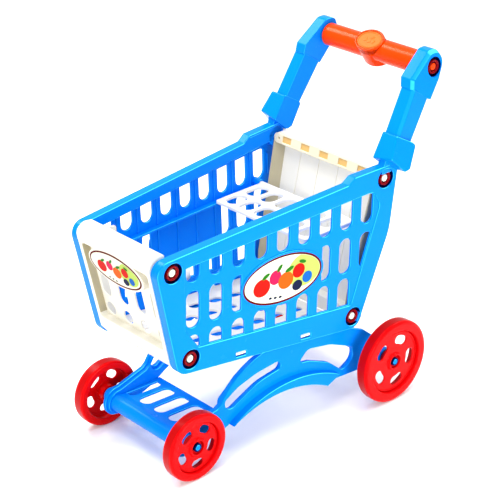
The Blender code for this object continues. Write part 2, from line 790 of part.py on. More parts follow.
def wheel(side, spec, name):
    place = across(side, spec["y"], spec["radius"])

    def inward(u, v, w):
        return place(u, v, spec["outer"] - w)

    body = turned(wheel_profile(spec), inward)
    inner, outer = spec["hole"]
    holes = []
    for k in range(5):
        angle = math.radians(spec["turn"] + 72 * k)
        holes.append(plate([arc_slot(inner, outer, angle, HOLE_SPAN, 4)], -0.01, 0.03, inward))
    return finish(cut(body, *holes), name, "red", 0.2)


def axle_cap(side, spec, name):
    """The push cap that keeps a wheel on its axle."""
    outer = spec["outer"]
    cap = rod(side, spec["y"], spec["radius"], 0.0048, outer - 0.0044, outer - 0.0010, 16)
    return finish(cap, name, "blue")


# ---------------------------------------------------------------- handle

def arm_ring(x, y, z, width, depth, lean, corner=0.001):
    """A rectangle across an arm that leans from upright towards +Y, with its front outer corner cut off."""
    a, b, c = width / 2, depth / 2, corner
    corners = [
        (-a, -b + c), (-a + c, -b), (a - ARM_CHAMFER, -b), (a, -b + ARM_CHAMFER),
        (a, b - c), (a - c, b), (-a + c, b), (-a, b - c),
    ]
    return [(x + u, y + v * math.cos(lean), z - v * math.sin(lean)) for u, v in corners]


def head_ring(side, outer, x):
    """Section of an arm's head at x. The outer section has its front corners cut back."""
    back = ARM_CHAMFER if outer else 0
    loop = rounded([
        (0.1470 + back, 0.3668, 0.002), (0.1484 + back, 0.3780 - back * 0.4, 0.003),
        (0.1790 + back * 0.5, 0.4030 - back, 0.008), (0.1930 - back * 0.2, 0.4035 - back, 0.0105),
        (0.2000, 0.3890, 0.012), (0.1915, 0.3700, 0.014), (0.1758, 0.3492, 0.002),
    ])
    return [(side * (x - ARM_LEAN_IN * (z - HANDLE_Z)), y, z) for y, z in loop]


def sleeve_ring(side, outer):
    """Inner or outer section of an arm's sleeve, which flares out towards its foot."""
    if outer:
        loop = rounded([(0.1184, 0.3232, 0.002), (0.1053, 0.3005, 0.002), (0.1232, 0.2822, 0.003),
                        (0.1315, 0.2834, 0.003), (0.1458, 0.3062, 0.003), (0.1415, 0.3105, 0.002)])
        return [(side * (SLEEVE_OUTER + SLEEVE_FLARE * (0.3232 - z)), y, z) for y, z in loop]
    loop = rounded([(0.1190, 0.3232, 0.002), (0.1030, 0.2962, 0.002), (0.1236, 0.2795, 0.003),
                    (0.1312, 0.2818, 0.003), (0.1452, 0.3066, 0.003), (0.1415, 0.3105, 0.002)])
    return [(side * SLEEVE_INNER, y, z) for y, z in loop]


def shaft_rings(side):
    """The two end sections of an arm's shaft."""
    ends = [(0.0876, 0.1312, 0.3124, 0.0194, 0.0252), (0.0846, 0.1607, 0.3599, 0.0184, 0.0286)]
    return [[(side * x, y, z) for x, y, z in arm_ring(*end, ARM_LEAN)] for end in ends]


def handle_arm(side, name):
    """Sleeve, shaft and head of a handle arm. The sleeve wraps over the side panel's rear top corner."""
    head = loft([
        head_ring(1, False, ARM_OUTER - ARM_HEAD),
        head_ring(1, False, ARM_OUTER - ARM_CHAMFER),
        head_ring(1, True, ARM_OUTER),
    ])
    arm = add(head, loft(shaft_rings(1)), loft([sleeve_ring(1, False), sleeve_ring(1, True)]))
    stub = []
    for y, z, half_y in ((0.1116, 0.2750, 0.0105), (0.1192, 0.3028, 0.0096)):
        x = side_x(y, z) - PANEL_DEPTH / 2
        stub.append([(u, v, z) for u, v in rectangle(x - 0.0063, x + 0.0063, y - half_y, y + half_y)])
    corner = [(0.0900, 0.2700), (0.1287, 0.2700), (0.1287, 0.2901), (0.0900, 0.2887)]
    arm = cut(
        arm, plate([corner], -PANEL_DEPTH - 0.0006, 0.0006, on_panel(1)), loft(stub),
        rod(1, HANDLE_Y, HANDLE_Z, RECESS_RADIUS, ARM_OUTER - RECESS_DEPTH, ARM_OUTER + 0.01, 24),
        rod(1, HANDLE_Y, HANDLE_Z, PEG_HOLE, 0.05, ARM_OUTER, 16),
    )
    if side < 0:
        for vert in arm.data.vertices:
            vert.co.x = -vert.co.x
        arm.data.flip_normals()
    return finish(arm, name, "blue")


def handle_bar():
    """The orange grip bar with its oval middle drum and the pegs that pass through the arms."""
    bar = rod(1, HANDLE_Y, HANDLE_Z, BAR_RADIUS, -BAR_HALF, BAR_HALF, 24)
    peg = rod(1, HANDLE_Y, HANDLE_Z, PEG_RADIUS, -ARM_OUTER + 0.0018, ARM_OUTER - 0.0018, 16)
    drum = plate([ellipse(0, 0, DRUM_HALF_X, DRUM_HALF_Y, 0)], -DRUM_HALF, DRUM_HALF, on_drum)
    face = ellipse(0, 0, DRUM_HALF_X - 0.0026, DRUM_HALF_Y - 0.0026, 0)
    recess = plate([face], DRUM_HALF - 0.0012, DRUM_HALF + 0.01, on_drum)
    return finish(cut(add(bar, peg, drum), recess), "handle_bar", "orange", 0.3)


def on_drum(u, v, w):
    """Places a point on the drum's axis, which tilts forward from upright."""
    return (u, HANDLE_Y + v * math.cos(DRUM_TILT) - w * math.sin(DRUM_TILT),
            HANDLE_Z + v * math.sin(DRUM_TILT) + w * math.cos(DRUM_TILT))


def handle_badge():
    """The plain oval badge set in the drum's top."""
    loop = ellipse(0, 0, DRUM_HALF_X - 0.0030, DRUM_HALF_Y - 0.0030, 0)
    return finish(plate([loop], DRUM_HALF - 0.0009, DRUM_HALF - 0.0001, on_drum), "handle_badge", "orange", 0.3)


# ---------------------------------------------------------------- small parts

def nut_loop():
    """The hole of a ring nut: six shallow lobes round the peg."""
    loop = []
    for k in range(24):
        angle = 2 * math.pi * k / 24
        radius = 0.0054 + 0.0006 * (k % 4 in (0, 1))
        loop.append((radius * math.cos(angle), radius * math.sin(angle)))
    return loop


def ring_nut(side, y, z, face, name):
    low = face - RECESS_DEPTH + 0.0012
    nut = plate([circle(0, 0, NUT_RADIUS, 24), nut_loop()], low, low + NUT_THICK, across(side, y, z))
    return finish(nut, name, "red", 0.25)


def side_label(side, name):
    """The thin oval label on the middle of a side panel's field."""
    loop = ellipse(SLOT_MIDDLE_Y, 0.1960, 0.0548, 0.0285, -0.061)
    label = plate([loop], -FIELD_STEP + GAP / 2, -FIELD_STEP + 0.0008, on_panel(side))
    return finish(label, name, "label", 0.3)


def front_label():
    """The thin oval label on the nose panel's field."""
    loop = ellipse(0, 0.2325, 0.0425, 0.0185, 0)
    label = plate([loop], -0.0016, -0.0012, lambda u, v, w: (u, front_y(v) + w, v))
    return finish(label, "front_label", "label", 0.3)


def main():
    for thing in list(bpy.data.objects):
        bpy.data.objects.remove(thing)
    for side, hand in ((1, "left"), (-1, "right")):
        side_panel(side, f"{hand}_side_panel")
        side_label(side, f"{hand}_label")
        chassis_frame(side, f"{hand}_chassis_frame")
        handle_arm(side, f"{hand}_handle_arm")
        for spec, end in ((FRONT_WHEEL, "front"), (REAR_WHEEL, "rear")):
            wheel(side, spec, f"{end}_{hand}_wheel")
            axle_cap(side, spec, f"{end}_{hand}_axle_cap")
        for name, (y, z) in NUT_PLACES.items():
            ring_nut(side, y, z, side_x(y, z), f"{hand}_{name}_nut")
        ring_nut(side, HANDLE_Y, HANDLE_Z, ARM_OUTER, f"{hand}_handle_nut")
    front_panel()
    rear_panel()
    floor_panel()
    seat_flap()
    front_shelf()
    crossbar(-0.015, "front_crossbar")
    crossbar(0.045, "rear_crossbar")
    axle(FRONT_WHEEL, "front_axle")
    axle(REAR_WHEEL, "rear_axle")
    rear_axle_tube()
    handle_bar()
    handle_badge()
    front_label()


main()
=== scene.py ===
"""Looks, fine shapes, light and camera for the toy shopping trolley.

Metres, +Z up. The ground is z = 0, the nose points to -Y, the handle is at +Y, and the left side is +X.
"""
import math

import bmesh
import bpy
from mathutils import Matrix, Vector


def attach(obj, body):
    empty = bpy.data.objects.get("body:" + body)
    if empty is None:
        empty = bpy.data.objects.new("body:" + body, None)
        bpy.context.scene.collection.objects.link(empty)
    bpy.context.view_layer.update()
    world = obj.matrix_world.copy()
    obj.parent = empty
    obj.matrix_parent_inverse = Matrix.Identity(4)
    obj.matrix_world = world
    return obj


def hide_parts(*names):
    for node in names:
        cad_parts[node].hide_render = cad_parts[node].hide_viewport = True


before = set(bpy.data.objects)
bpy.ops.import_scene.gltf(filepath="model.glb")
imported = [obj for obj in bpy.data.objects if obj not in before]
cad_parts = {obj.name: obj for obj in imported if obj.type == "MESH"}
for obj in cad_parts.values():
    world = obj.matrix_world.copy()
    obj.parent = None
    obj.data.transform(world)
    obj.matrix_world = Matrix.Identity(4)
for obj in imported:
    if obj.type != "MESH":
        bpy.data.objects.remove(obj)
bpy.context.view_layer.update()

# Basket side panels: the outer face is a plane that spreads to the rear and leans out towards the top.
PANEL_X = 0.0834
PANEL_SPLAY = 0.0686
PANEL_LEAN = 0.0296
PANEL_MIDDLE_Z = 0.2
PANEL_DEPTH = 0.0117
SHEET = 0.003
FIELD_STEP = 0.0012

# Slots in the side panels.
SLOT_PITCH = 0.02985
SLOT_MIDDLE_Y = -0.0346
SLOT_WIDTH = 0.0172
SLOT_COLUMNS = range(-4, 5)

# Labels: middle height and half sizes of the ovals, and how far the side labels tilt.
LABEL_Z = 0.1960
LABEL_HALF = (0.0548, 0.0285)
LABEL_TILT = -0.061
FRONT_LABEL_Z = 0.2325
FRONT_LABEL_HALF = (0.0425, 0.0185)

# Ring nuts, at these (y, z) places on each side panel, and on the ends of the handle bar.
NUT_PLACES = {
    "front_top": (-0.1795, 0.2488),
    "front_low": (-0.1573, 0.1408),
    "rear_low": (0.0708, 0.1134),
    "rear_top": (0.1094, 0.2741),
}
HANDLE_Y = 0.1846
HANDLE_Z = 0.3842
NUT_RADIUS = 0.0082
RECESS_RADIUS = 0.0113
RECESS_DEPTH = 0.0064
BOSS_RADIUS = 0.0123
PEG_RADIUS = 0.0041

# Planes of the front and the rear panel: y at a height, and its slope.
FRONT_Y = -0.1986
FRONT_AT_Z = 0.245
FRONT_SLOPE = -0.208
FRONT_SLOT_PITCH = 0.029
REAR_SLOPE = 0.2402

# Floor of the basket, parallel to the bottom edge of the side panels.
BOTTOM_SLOPE = -0.115
BOTTOM_Z = 0.1061
FLOOR_RISE = 0.0059
FLOOR_THICK = 0.003
FLOOR_HOLE_PITCH = 0.0235
FLOOR_ROW_PITCH = 0.0290
TAB_PLACES = (-0.0906, 0.0005)
TAB_LENGTH = 0.0135

# Seat flap, hinged at its rear edge.
SEAT_HINGE = (0.0790, 0.2240)
SEAT_FRONT_Y = 0.0055
SEAT_FRONT_HALF = 0.0733
SEAT_REAR_HALF = 0.0750
SEAT_THICK = 0.004
SEAT_BOSS_X = 0.0758
SEAT_HOLE_PITCH = 0.0235

# Rear panel, measured backwards from its plane: front face of its beam and flanges, and its sheet.
REAR_FRONT = -0.0045
REAR_SHEET = 0.0080
REAR_BACK = 0.0105
BEAM_LOW = 0.2690
BEAM_HIGH = 0.2805
CELL_PITCH = 0.030

# Chassis.
FRAME_X = 0.07496
FRAME_SPLAY = 0.08
FRAME_THICK = 0.009
FRAME_SHEET = 0.0048
RIM_OUT = 0.008
SHELF_PITCH = 0.0247

# Wheels: y of the axle, radius, outer face and width. Their slots: inner and outer radius, first angle and
# span in degrees.
FRONT_WHEEL = {
    "y": -0.1613, "radius": 0.0394, "outer": 0.0845, "width": 0.0152, "hole": (0.0164, 0.0256), "turn": 56,
}
REAR_WHEEL = {
    "y": 0.1119, "radius": 0.0507, "outer": 0.1166, "width": 0.0158, "hole": (0.0210, 0.0318), "turn": 66,
}
WHEEL_HOLES = 5
HOLE_SPAN = 42
HUB_BORE = 0.0035

# Handle.
ARM_OUTER = 0.0909
ARM_HEAD = 0.0176
ARM_LEAN = math.radians(32)
ARM_LEAN_IN = 0.12
ARM_CHAMFER = 0.0034
SLEEVE_INNER = 0.0775
SLEEVE_OUTER = 0.0987
SLEEVE_FLARE = 0.25
BAR_RADIUS = 0.0132
BAR_HALF = 0.0710
DRUM_HALF_X = 0.0198
DRUM_HALF_Y = 0.0150
DRUM_HALF = 0.0146
DRUM_TILT = math.radians(35)

# Camera.
CAMERA_AT = (1.1640, -1.0772, 0.9583)
CAMERA_TO = (0.126747, -0.125005, 0.276513)
CAMERA_LENS = 113.4
CAMERA_ROLL = math.radians(-0.324)

# Half the width of the floor under the trolley.
FLOOR_HALF = 12.0


# ---- outlines

def unit(u, v):
    length = math.hypot(u, v)
    return (u / length, v / length)


def rounded(corners, segments=8):
    """The loop through corners (u, v, radius), each rounded by an arc of its radius."""
    loop = []
    count = len(corners)
    for i, (u, v, radius) in enumerate(corners):
        before = corners[i - 1]
        after = corners[(i + 1) % count]
        if radius <= 0:
            loop.append((u, v))
            continue
        a = unit(before[0] - u, before[1] - v)
        b = unit(after[0] - u, after[1] - v)
        half = math.acos(max(-1, min(1, a[0] * b[0] + a[1] * b[1]))) / 2
        reach = radius / math.tan(half)
        middle = unit(a[0] + b[0], a[1] + b[1])
        centre = (u + middle[0] * radius / math.sin(half), v + middle[1] * radius / math.sin(half))
        start = (u + a[0] * reach, v + a[1] * reach)
        end = (u + b[0] * reach, v + b[1] * reach)
        first = math.atan2(start[1] - centre[1], start[0] - centre[0])
        turn = math.atan2(end[1] - centre[1], end[0] - centre[0]) - first
        turn = (turn + math.pi) % (2 * math.pi) - math.pi
        for k in range(segments + 1):
            angle = first + turn * k / segments
            loop.append((centre[0] + radius * math.cos(angle), centre[1] + radius * math.sin(angle)))
    return loop


def soft(loop, radius, segments=8):
    """The loop with every corner rounded by the same radius."""
    return rounded([(u, v, radius) for u, v in loop], segments)


def rectangle(low_u, high_u, low_v, high_v):
    return [(low_u, low_v), (high_u, low_v), (high_u, high_v), (low_u, high_v)]


def trapezoid(low_half, high_half, low, high):
    """A loop of four corners that is the same on both sides of u = 0."""
    return [(-low_half, low), (low_half, low), (high_half, high), (-high_half, high)]


def swung(u, v, a, b, tilt):
    """The point (a, b) turned by tilt and moved by (u, v)."""
    return (u + a * math.cos(tilt) - b * math.sin(tilt), v + a * math.sin(tilt) + b * math.cos(tilt))


def arc_points(u, v, radius, start, end, segments):
    """Points on a circle about (u, v), from one angle to another in degrees."""
    points = []
    for k in range(segments + 1):
        angle = math.radians(start + (end - start) * k / segments)
        points.append((u + radius * math.cos(angle), v + radius * math.sin(angle)))
    return points


def circle(u, v, radius, segments=48):
    """A round loop about (u, v)."""
    return arc_points(u, v, radius, 0, 360, segments)[:-1]


def ellipse(u, v, half_u, half_v, tilt, segments=72):
    """An oval loop about (u, v), turned by tilt."""
    loop = []
    for k in range(segments):
        angle = 2 * math.pi * k / segments
        loop.append(swung(u, v, half_u * math.cos(angle), half_v * math.sin(angle), tilt))
    return loop


def capsule(u, low, high, width, segments=12):
    """An upright slot with round ends, from v = low to v = high."""
    radius = width / 2
    top = arc_points(u, high - radius, radius, 0, 180, segments)
    return top + arc_points(u, low + radius, radius, 180, 360, segments)


def arc_slot(inner, outer, middle, span, segments=12):
    """A kidney-shaped slot with round ends between two radii about (0, 0). Its angles are in degrees."""
    radius = (outer - inner) / 2
    mean = (outer + inner) / 2
    half = span / 2 - math.degrees(radius / mean)
    loop = arc_points(0, 0, outer, middle - half, middle + half, segments)
    loop += end_cap(mean, middle + half, radius, 0)
    loop += arc_points(0, 0, inner, middle + half, middle - half, segments)
    return loop + end_cap(mean, middle - half, radius, 180)


def end_cap(mean, at, radius, start):
    """The inner points of the half circle that closes one end of an arc slot."""
    centre = swung(0, 0, mean, 0, math.radians(at))
    return arc_points(*centre, radius, at + start, at + start + 180, 8)[1:-1]


def clipped(loop, point, normal):
    """The part of a loop on the side of the line through point that normal points away from."""
    kept = []
    for i, here in enumerate(loop):
        there = loop[(i + 1) % len(loop)]
        a = (here[0] - point[0]) * normal[0] + (here[1] - point[1]) * normal[1]
        b = (there[0] - point[0]) * normal[0] + (there[1] - point[1]) * normal[1]
        if a <= 0:
            kept.append(here)
        if a * b < 0:
            part = a / (a - b)
            kept.append((here[0] + (there[0] - here[0]) * part, here[1] + (there[1] - here[1]) * part))
    return kept


def within(loop, border):
    """The part of a loop inside a convex anticlockwise border."""
    for here, there in zip(border, border[1:] + border[:1]):
        loop = clipped(loop, here, (there[1] - here[1], here[0] - there[0]))
    return loop


def inset(loop, distance):
    """The loop moved inwards by distance, for a loop that runs anticlockwise."""
    moved = []
    for i, here in enumerate(loop):
        before = unit(here[0] - loop[i - 1][0], here[1] - loop[i - 1][1])
        following = loop[(i + 1) % len(loop)]
        after = unit(following[0] - here[0], following[1] - here[1])
        normal = unit(-before[1] - after[1], before[0] + after[0])
        stretch = normal[0] * -before[1] + normal[1] * before[0]
        moved.append((here[0] + normal[0] * distance / stretch, here[1] + normal[1] * distance / stretch))
    return moved


def anticlockwise(loop):
    area = sum(a[0] * b[1] - b[0] * a[1] for a, b in zip(loop, loop[1:] + loop[:1]))
    return loop if area > 0 else loop[::-1]


# ---- solids

def as_object(name, mesh):
    thing = bpy.data.objects.new(name, mesh)
    bpy.context.scene.collection.objects.link(thing)
    return thing


def as_solid(name, bm):
    """An object of a closed bmesh, with its faces turned outwards."""
    bmesh.ops.recalc_face_normals(bm, faces=bm.faces)
    if bm.calc_volume(signed=True) < 0:
        bmesh.ops.reverse_faces(bm, faces=bm.faces)
    mesh = bpy.data.meshes.new(name)
    bm.to_mesh(mesh)
    bm.free()
    return as_object(name, mesh)


def plate(loops, low, high, place, edge=0.0006):
    """The first loop filled, less the others, from low to high with rounded edges, and moved by place."""
    edge = min(edge, (high - low) / 2 - 0.00005)
    curve = bpy.data.curves.new("outline", "CURVE")
    curve.dimensions = "2D"
    curve.fill_mode = "BOTH"
    curve.extrude = (high - low) / 2 - edge
    curve.bevel_depth = edge
    curve.bevel_resolution = 2
    curve.offset = -edge
    for loop in loops:
        spline = curve.splines.new("POLY")
        spline.points.add(len(loop) - 1)
        for point, (u, v) in zip(spline.points, loop):
            point.co = (u, v, 0, 1)
        spline.use_cyclic_u = True
    guide = as_object("outline", curve)
    mesh = bpy.data.meshes.new_from_object(guide)
    bpy.data.objects.remove(guide)
    bm = bmesh.new()
    bm.from_mesh(mesh)
    bmesh.ops.remove_doubles(bm, verts=bm.verts, dist=2e-6)
    for vert in bm.verts:
        vert.co = place(vert.co.x, vert.co.y, vert.co.z + (low + high) / 2)
    return as_solid("plate", bm)


def loft(rings, edge=0.0008):
    """A closed solid through rings of points, each ring with as many points, capped at both ends."""
    bm = bmesh.new()
    made = [[bm.verts.new(point) for point in ring] for ring in rings]
    for one, two in zip(made, made[1:]):
        for i in range(len(one)):
            j = (i + 1) % len(one)
            bm.faces.new((one[i], one[j], two[j], two[i]))
    bm.faces.new(made[0][::-1])
    bm.faces.new(made[-1])
    solid = as_solid("loft", bm)
    return softened(solid, edge) if edge else solid


def softened(thing, edge, angle=25):
    """The solid with its sharper edges rounded."""
    modifier = thing.modifiers.new("round", "BEVEL")
    modifier.width = edge
    modifier.segments = 3
    modifier.limit_method = "ANGLE"
    modifier.angle_limit = math.radians(angle)
    return applied(thing)


def cut(base, cutter):
    """The base less the cutter."""
    modifier = base.modifiers.new("cut", "BOOLEAN")
    modifier.operation = "DIFFERENCE"
    modifier.solver = "EXACT"
    modifier.object = cutter
    applied(base)
    bpy.data.objects.remove(cutter)
    return base


def applied(thing):
    """The solid with its modifiers made part of its mesh."""
    bpy.context.view_layer.update()
    graph = bpy.context.evaluated_depsgraph_get()
    mesh = bpy.data.meshes.new_from_object(thing.evaluated_get(graph))
    thing.modifiers.clear()
    thing.data = mesh
    return thing


def turned(profile, place, segments=96):
    """A closed profile of (radius, along) points turned about an axis and moved by place(u, v, w)."""
    bm = bmesh.new()
    rings = []
    for k in range(segments):
        angle = 2 * math.pi * k / segments
        rings.append([bm.verts.new(place(r * math.cos(angle), r * math.sin(angle), a)) for r, a in profile])
    for one, two in zip(rings, rings[1:] + rings[:1]):
        for i in range(len(profile)):
            j = (i + 1) % len(profile)
            bm.faces.new((one[i], one[j], two[j], two[i]))
    return as_solid("turned", bm)


def piece(name, parts, material, replaced, body="trolley", sharp=40):
    """Joins parts into one named piece that stands for CAD nodes and rides on a body."""
    bm = bmesh.new()
    for part in parts:
        bm.from_mesh(part.data)
        bpy.data.objects.remove(part)
    mesh = bpy.data.meshes.new(name)
    bm.to_mesh(mesh)
    bm.free()
    mesh.shade_smooth()
    mesh.set_sharp_from_angle(angle=math.radians(sharp))
    mesh.materials.append(material)
    thing = as_object(name, mesh)
    weighted = thing.modifiers.new("weighted", "WEIGHTED_NORMAL")
    weighted.keep_sharp = True
    if replaced:
        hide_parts(*replaced)
    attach(thing, body)
    return thing


# ---- materials

def new_material(name):
    """A material and its shader node."""
    material = bpy.data.materials.new(name)
    material.use_nodes = True
    return material, material.node_tree.nodes["Principled BSDF"]


def set_inputs(node, values):
    for name, value in values.items():
        node.inputs[name].default_value = value


def noise(nodes, links, place, scale, detail):
    """The value of a noise texture at place."""
    texture = nodes.new("ShaderNodeTexNoise")
    set_inputs(texture, {"Scale": scale, "Detail": detail})
    links.new(place, texture.inputs["Vector"])
    return texture.outputs["Fac"]


def painted_edge_highlight(nodes, links, colour, edge):
    """Paints a highlight: mixes the edge colour onto rounded edges whose normals face two fixed outward
    directions.
    """
    normal = nodes.new("ShaderNodeNewGeometry").outputs["Normal"]
    outward = nodes.new("ShaderNodeVectorMath")
    outward.operation = "ABSOLUTE"
    links.new(normal, outward.inputs[0])
    # Each fixed direction gives an amount of painted highlight, by how nearly the normal faces it.
    amounts = []
    for direction, strength in (((0.72, 0.0, 0.70), 1.0), ((0.70, 0.71, 0.0), 0.40)):
        facing = nodes.new("ShaderNodeVectorMath")
        facing.operation = "DOT_PRODUCT"
        facing.inputs[1].default_value = direction
        links.new(outward.outputs[0], facing.inputs[0])
        amount = nodes.new("ShaderNodeMapRange")
        set_inputs(amount, {"From Min": 0.90, "From Max": 0.98, "To Max": strength})
        links.new(facing.outputs["Value"], amount.inputs["Value"])
        amounts.append(amount.outputs["Result"])
    greater = nodes.new("ShaderNodeMath")
    greater.operation = "MAXIMUM"
    links.new(amounts[0], greater.inputs[0])
    links.new(amounts[1], greater.inputs[1])
    mix = nodes.new("ShaderNodeMix")
    mix.data_type = "RGBA"
    mix.inputs["B"].default_value = (*edge, 1)
    links.new(colour, mix.inputs["A"])
    links.new(greater.outputs["Value"], mix.inputs["Factor"])
    return mix.outputs["Result"]


def plastic(name, colour, roughness=0.3, sheen=(1, 1, 1), gloss_level=0.3, grain=0.25, edge=None, painted_glow=0.0):
    """Moulded plastic: cloudy base colour, fine grain, uneven gloss and tinted sheen, with an optional
    painted highlight on outward-facing edges and an optional emission of the base colour, painted light that
    lifts the shade."""
    material, shader = new_material(name)
    nodes = material.node_tree.nodes
    links = material.node_tree.links
    place = nodes.new("ShaderNodeTexCoord").outputs["Object"]

    tint = nodes.new("ShaderNodeMix")
    tint.data_type = "RGBA"
    set_inputs(tint, {"A": (*[c * 0.96 for c in colour], 1), "B": (*[min(1, c * 1.03) for c in colour], 1)})
    links.new(noise(nodes, links, place, 14, 3), tint.inputs["Factor"])
    base = tint.outputs["Result"]
    # Painted highlight: the edge colour is mixed onto the outward-facing edges.
    if edge:
        base = painted_edge_highlight(nodes, links, base, edge)
    links.new(base, shader.inputs["Base Color"])

    gloss = nodes.new("ShaderNodeMapRange")
    set_inputs(gloss, {"To Min": roughness - 0.05, "To Max": roughness + 0.07})
    links.new(noise(nodes, links, place, 60, 4), gloss.inputs["Value"])
    links.new(gloss.outputs["Result"], shader.inputs["Roughness"])

    bump = nodes.new("ShaderNodeBump")
    set_inputs(bump, {"Strength": grain * 0.12, "Distance": 0.0004})
    links.new(noise(nodes, links, place, 900, 2), bump.inputs["Height"])
    links.new(bump.outputs["Normal"], shader.inputs["Normal"])

    # Painted light: the base colour is emitted so that the shaded parts look lighter, though the plastic is
    # no lamp.
    set_inputs(shader, {"Emission Color": (*colour, 1), "Emission Strength": painted_glow, "IOR": 1.49})
    set_inputs(shader, {"Specular IOR Level": gloss_level, "Specular Tint": (*sheen, 1)})
    return material


def ink(name, colour):
    """The matt printing of a sticker."""
    return plastic(name, colour, 0.45, gloss_level=0.05, grain=0.05)


def metal(name):
    """Plain bright steel."""
    material, shader = new_material(name)
    set_inputs(shader, {"Base Color": (0.55, 0.56, 0.58, 1), "Metallic": 1.0, "Roughness": 0.3})
    return material


# Blue's edge colour is a painted highlight on its outward-facing edges.
BLUE = plastic("blue_plastic", (0.0004, 0.20, 0.86), 0.24, (0.15, 0.85, 1.0), 0.09, edge=(0.06, 0.72, 0.95))
# Navy is the axle caps' dark ring, and painted shade lining the nut recesses.
NAVY = plastic("navy_plastic", (0.0005, 0.004, 0.05), 0.5, (0.1, 0.3, 1.0), 0.1)
RED = plastic("red_plastic", (0.60, 0.0012, 0.0022), 0.2, (1.0, 0.4, 0.4), 0.10)
# A darker red for the wheel treads: painted shade.
RED_PAINTED_SHADE = plastic("red_painted_shade", (0.42, 0.0008, 0.0016), 0.3, (1.0, 0.4, 0.4), 0.12)
RED_NUT = plastic("red_nut", (0.20, 0.0006, 0.0030), 0.25, (1.0, 0.4, 0.4), 0.16)
# Cream gives off a little of its own colour as painted light that lifts its shade.
CREAM = plastic("cream_plastic", (0.72, 0.69, 0.59), 0.36, painted_glow=0.12)
# A darker copy of cream: painted shade for the front field's side walls and the rear panel's flanges.
CREAM_PAINTED_SHADE = plastic("cream_painted_shade", (0.42, 0.37, 0.24), 0.4, gloss_level=0.1)
CREAM_WARM = plastic("cream_warm", (0.70, 0.62, 0.42), 0.36)
TAN = plastic("tan_plastic", (0.66, 0.40, 0.12), 0.4)
# The white seat gives off a little of its own colour as painted light that lifts its shade.
WHITE = plastic("white_plastic", (0.74, 0.73, 0.70), 0.33, painted_glow=0.10)
ORANGE = plastic("orange_plastic", (0.80, 0.045, 0.0005), 0.2, (1.0, 0.6, 0.3), 0.15)
ORANGE_RAISED = plastic("orange_raised", (0.66, 0.13, 0.010), 0.3, (1.0, 0.7, 0.5), 0.12)
STEEL = metal("steel")
PRINT_RIM = ink("print_rim", (0.10, 0.0006, 0.0016))
PRINT_GROUND = ink("print_ground", (0.72, 0.72, 0.58))
PRINT_LIME = ink("print_lime", (0.40, 0.52, 0.10))
PRINT_RED = ink("print_red", (0.50, 0.006, 0.002))
PRINT_ORANGE = ink("print_orange", (0.72, 0.09, 0.003))
PRINT_GREEN = ink("print_green", (0.02, 0.16, 0.008))
PRINT_PINK = ink("print_pink", (0.55, 0.010, 0.07))
PRINT_BLUE = ink("print_blue", (0.006, 0.10, 0.40))
PRINT_NAVY = ink("print_navy", (0.006, 0.010, 0.04))


# ---- places

def side_x(y, z):
    """x of the outer face of the left side panel."""
    return PANEL_X + PANEL_SPLAY * y + PANEL_LEAN * (z - PANEL_MIDDLE_Z)


def on_panel(side):
    return lambda u, v, w: (side * (side_x(u, v) + w), u, v)


def on_frame(side):
    return lambda u, v, w: (side * (FRAME_X + FRAME_SPLAY * u + w), u, v)


def across(side, y, z):
    """Turned about an axis along X through (y, z): w is measured outwards from x = 0."""
    return lambda u, v, w: (side * w, y + u, z + v)


def front_y(z):
    return FRONT_Y + FRONT_SLOPE * (z - FRONT_AT_Z)


def on_nose(u, v, w):
    """On the front panel, with w measured forwards."""
    return (u, front_y(v) - w, v)


def rear_y(z):
    y, top = NUT_PLACES["rear_top"]
    return y + REAR_SLOPE * (z - top)


def bottom_z(y):
    return BOTTOM_Z + BOTTOM_SLOPE * y


def inner_x(y, z):
    """x of the inner edge of the side panel's rim."""
    return side_x(y, z) - PANEL_DEPTH - 0.0004


def rod(side, y, z, radius, low, high, edge=0.0006, segments=48):
    """A round bar along X."""
    return plate([circle(0, 0, radius, segments)], low, high, across(side, y, z), edge)


# ---- basket

def panel_outline():
    """Outer edge of a side panel, from the nose's top corner round by the bottom."""
    return anticlockwise(rounded([
        (-0.2022, 0.2625, 0.014),
        (-0.1738, 0.1261, 0.016),
        (0.0780, bottom_z(0.0780), 0.012),
        (0.1195, 0.2090, 0.080),
        (0.1275, 0.2895, 0.005),
        (0.0640, 0.2872, 0.004),
        (0.0545, 0.2803, 0.004),
    ]))


def slot_top(y):
    return 0.2560 + 0.054 * (y - SLOT_MIDDLE_Y)


def slot_foot(y):
    return 0.1400 - 0.107 * (y - SLOT_MIDDLE_Y)


def field_outline():
    """Edge of the shallow sunken field that holds the slots."""
    return anticlockwise(rounded([
        (-0.1650, slot_top(-0.1650), 0.004),
        (-0.1650, 0.1780, 0.010),
        (-0.1480, slot_foot(-0.1480), 0.003),
        (0.0665, slot_foot(0.0665), 0.004),
        (0.1030, 0.2440, 0.010),
        (0.0925, slot_top(0.0925), 0.010),
    ]))


def slot_loops():
    """Three rows of slots that follow the field's edge, with room for the label in the middle row."""
    edge = inset(field_outline(), 0.0009)
    loops = []
    for column in SLOT_COLUMNS:
        y = SLOT_MIDDLE_Y + column * SLOT_PITCH
        fall = -0.0006 * column
        rows = [(0.2285 + fall, 0.2900), (0.1748 + fall, 0.2180 + fall), (0.1100, 0.1670 + fall / 2)]
        if abs(column) < 2:
            del rows[1]
        for low, high in rows:
            loop = within(capsule(y, low, high, SLOT_WIDTH), edge)
            if abs(column) == 2 and low > 0.15 and high < 0.25:
                side = math.copysign(1, column)
                loop = clipped(loop, (SLOT_MIDDLE_Y + side * 0.0560, LABEL_Z), (-side, 0))
            if loop:
                loops.append(cleaned(loop))
    return loops


def cleaned(loop, least=0.0002):
    """The loop without points that almost coincide."""
    kept = []
    for point in loop:
        if not kept or math.hypot(point[0] - kept[-1][0], point[1] - kept[-1][1]) > least:
            kept.append(point)
    if math.hypot(kept[0][0] - kept[-1][0], kept[0][1] - kept[-1][1]) <= least:
        kept.pop()
    return kept


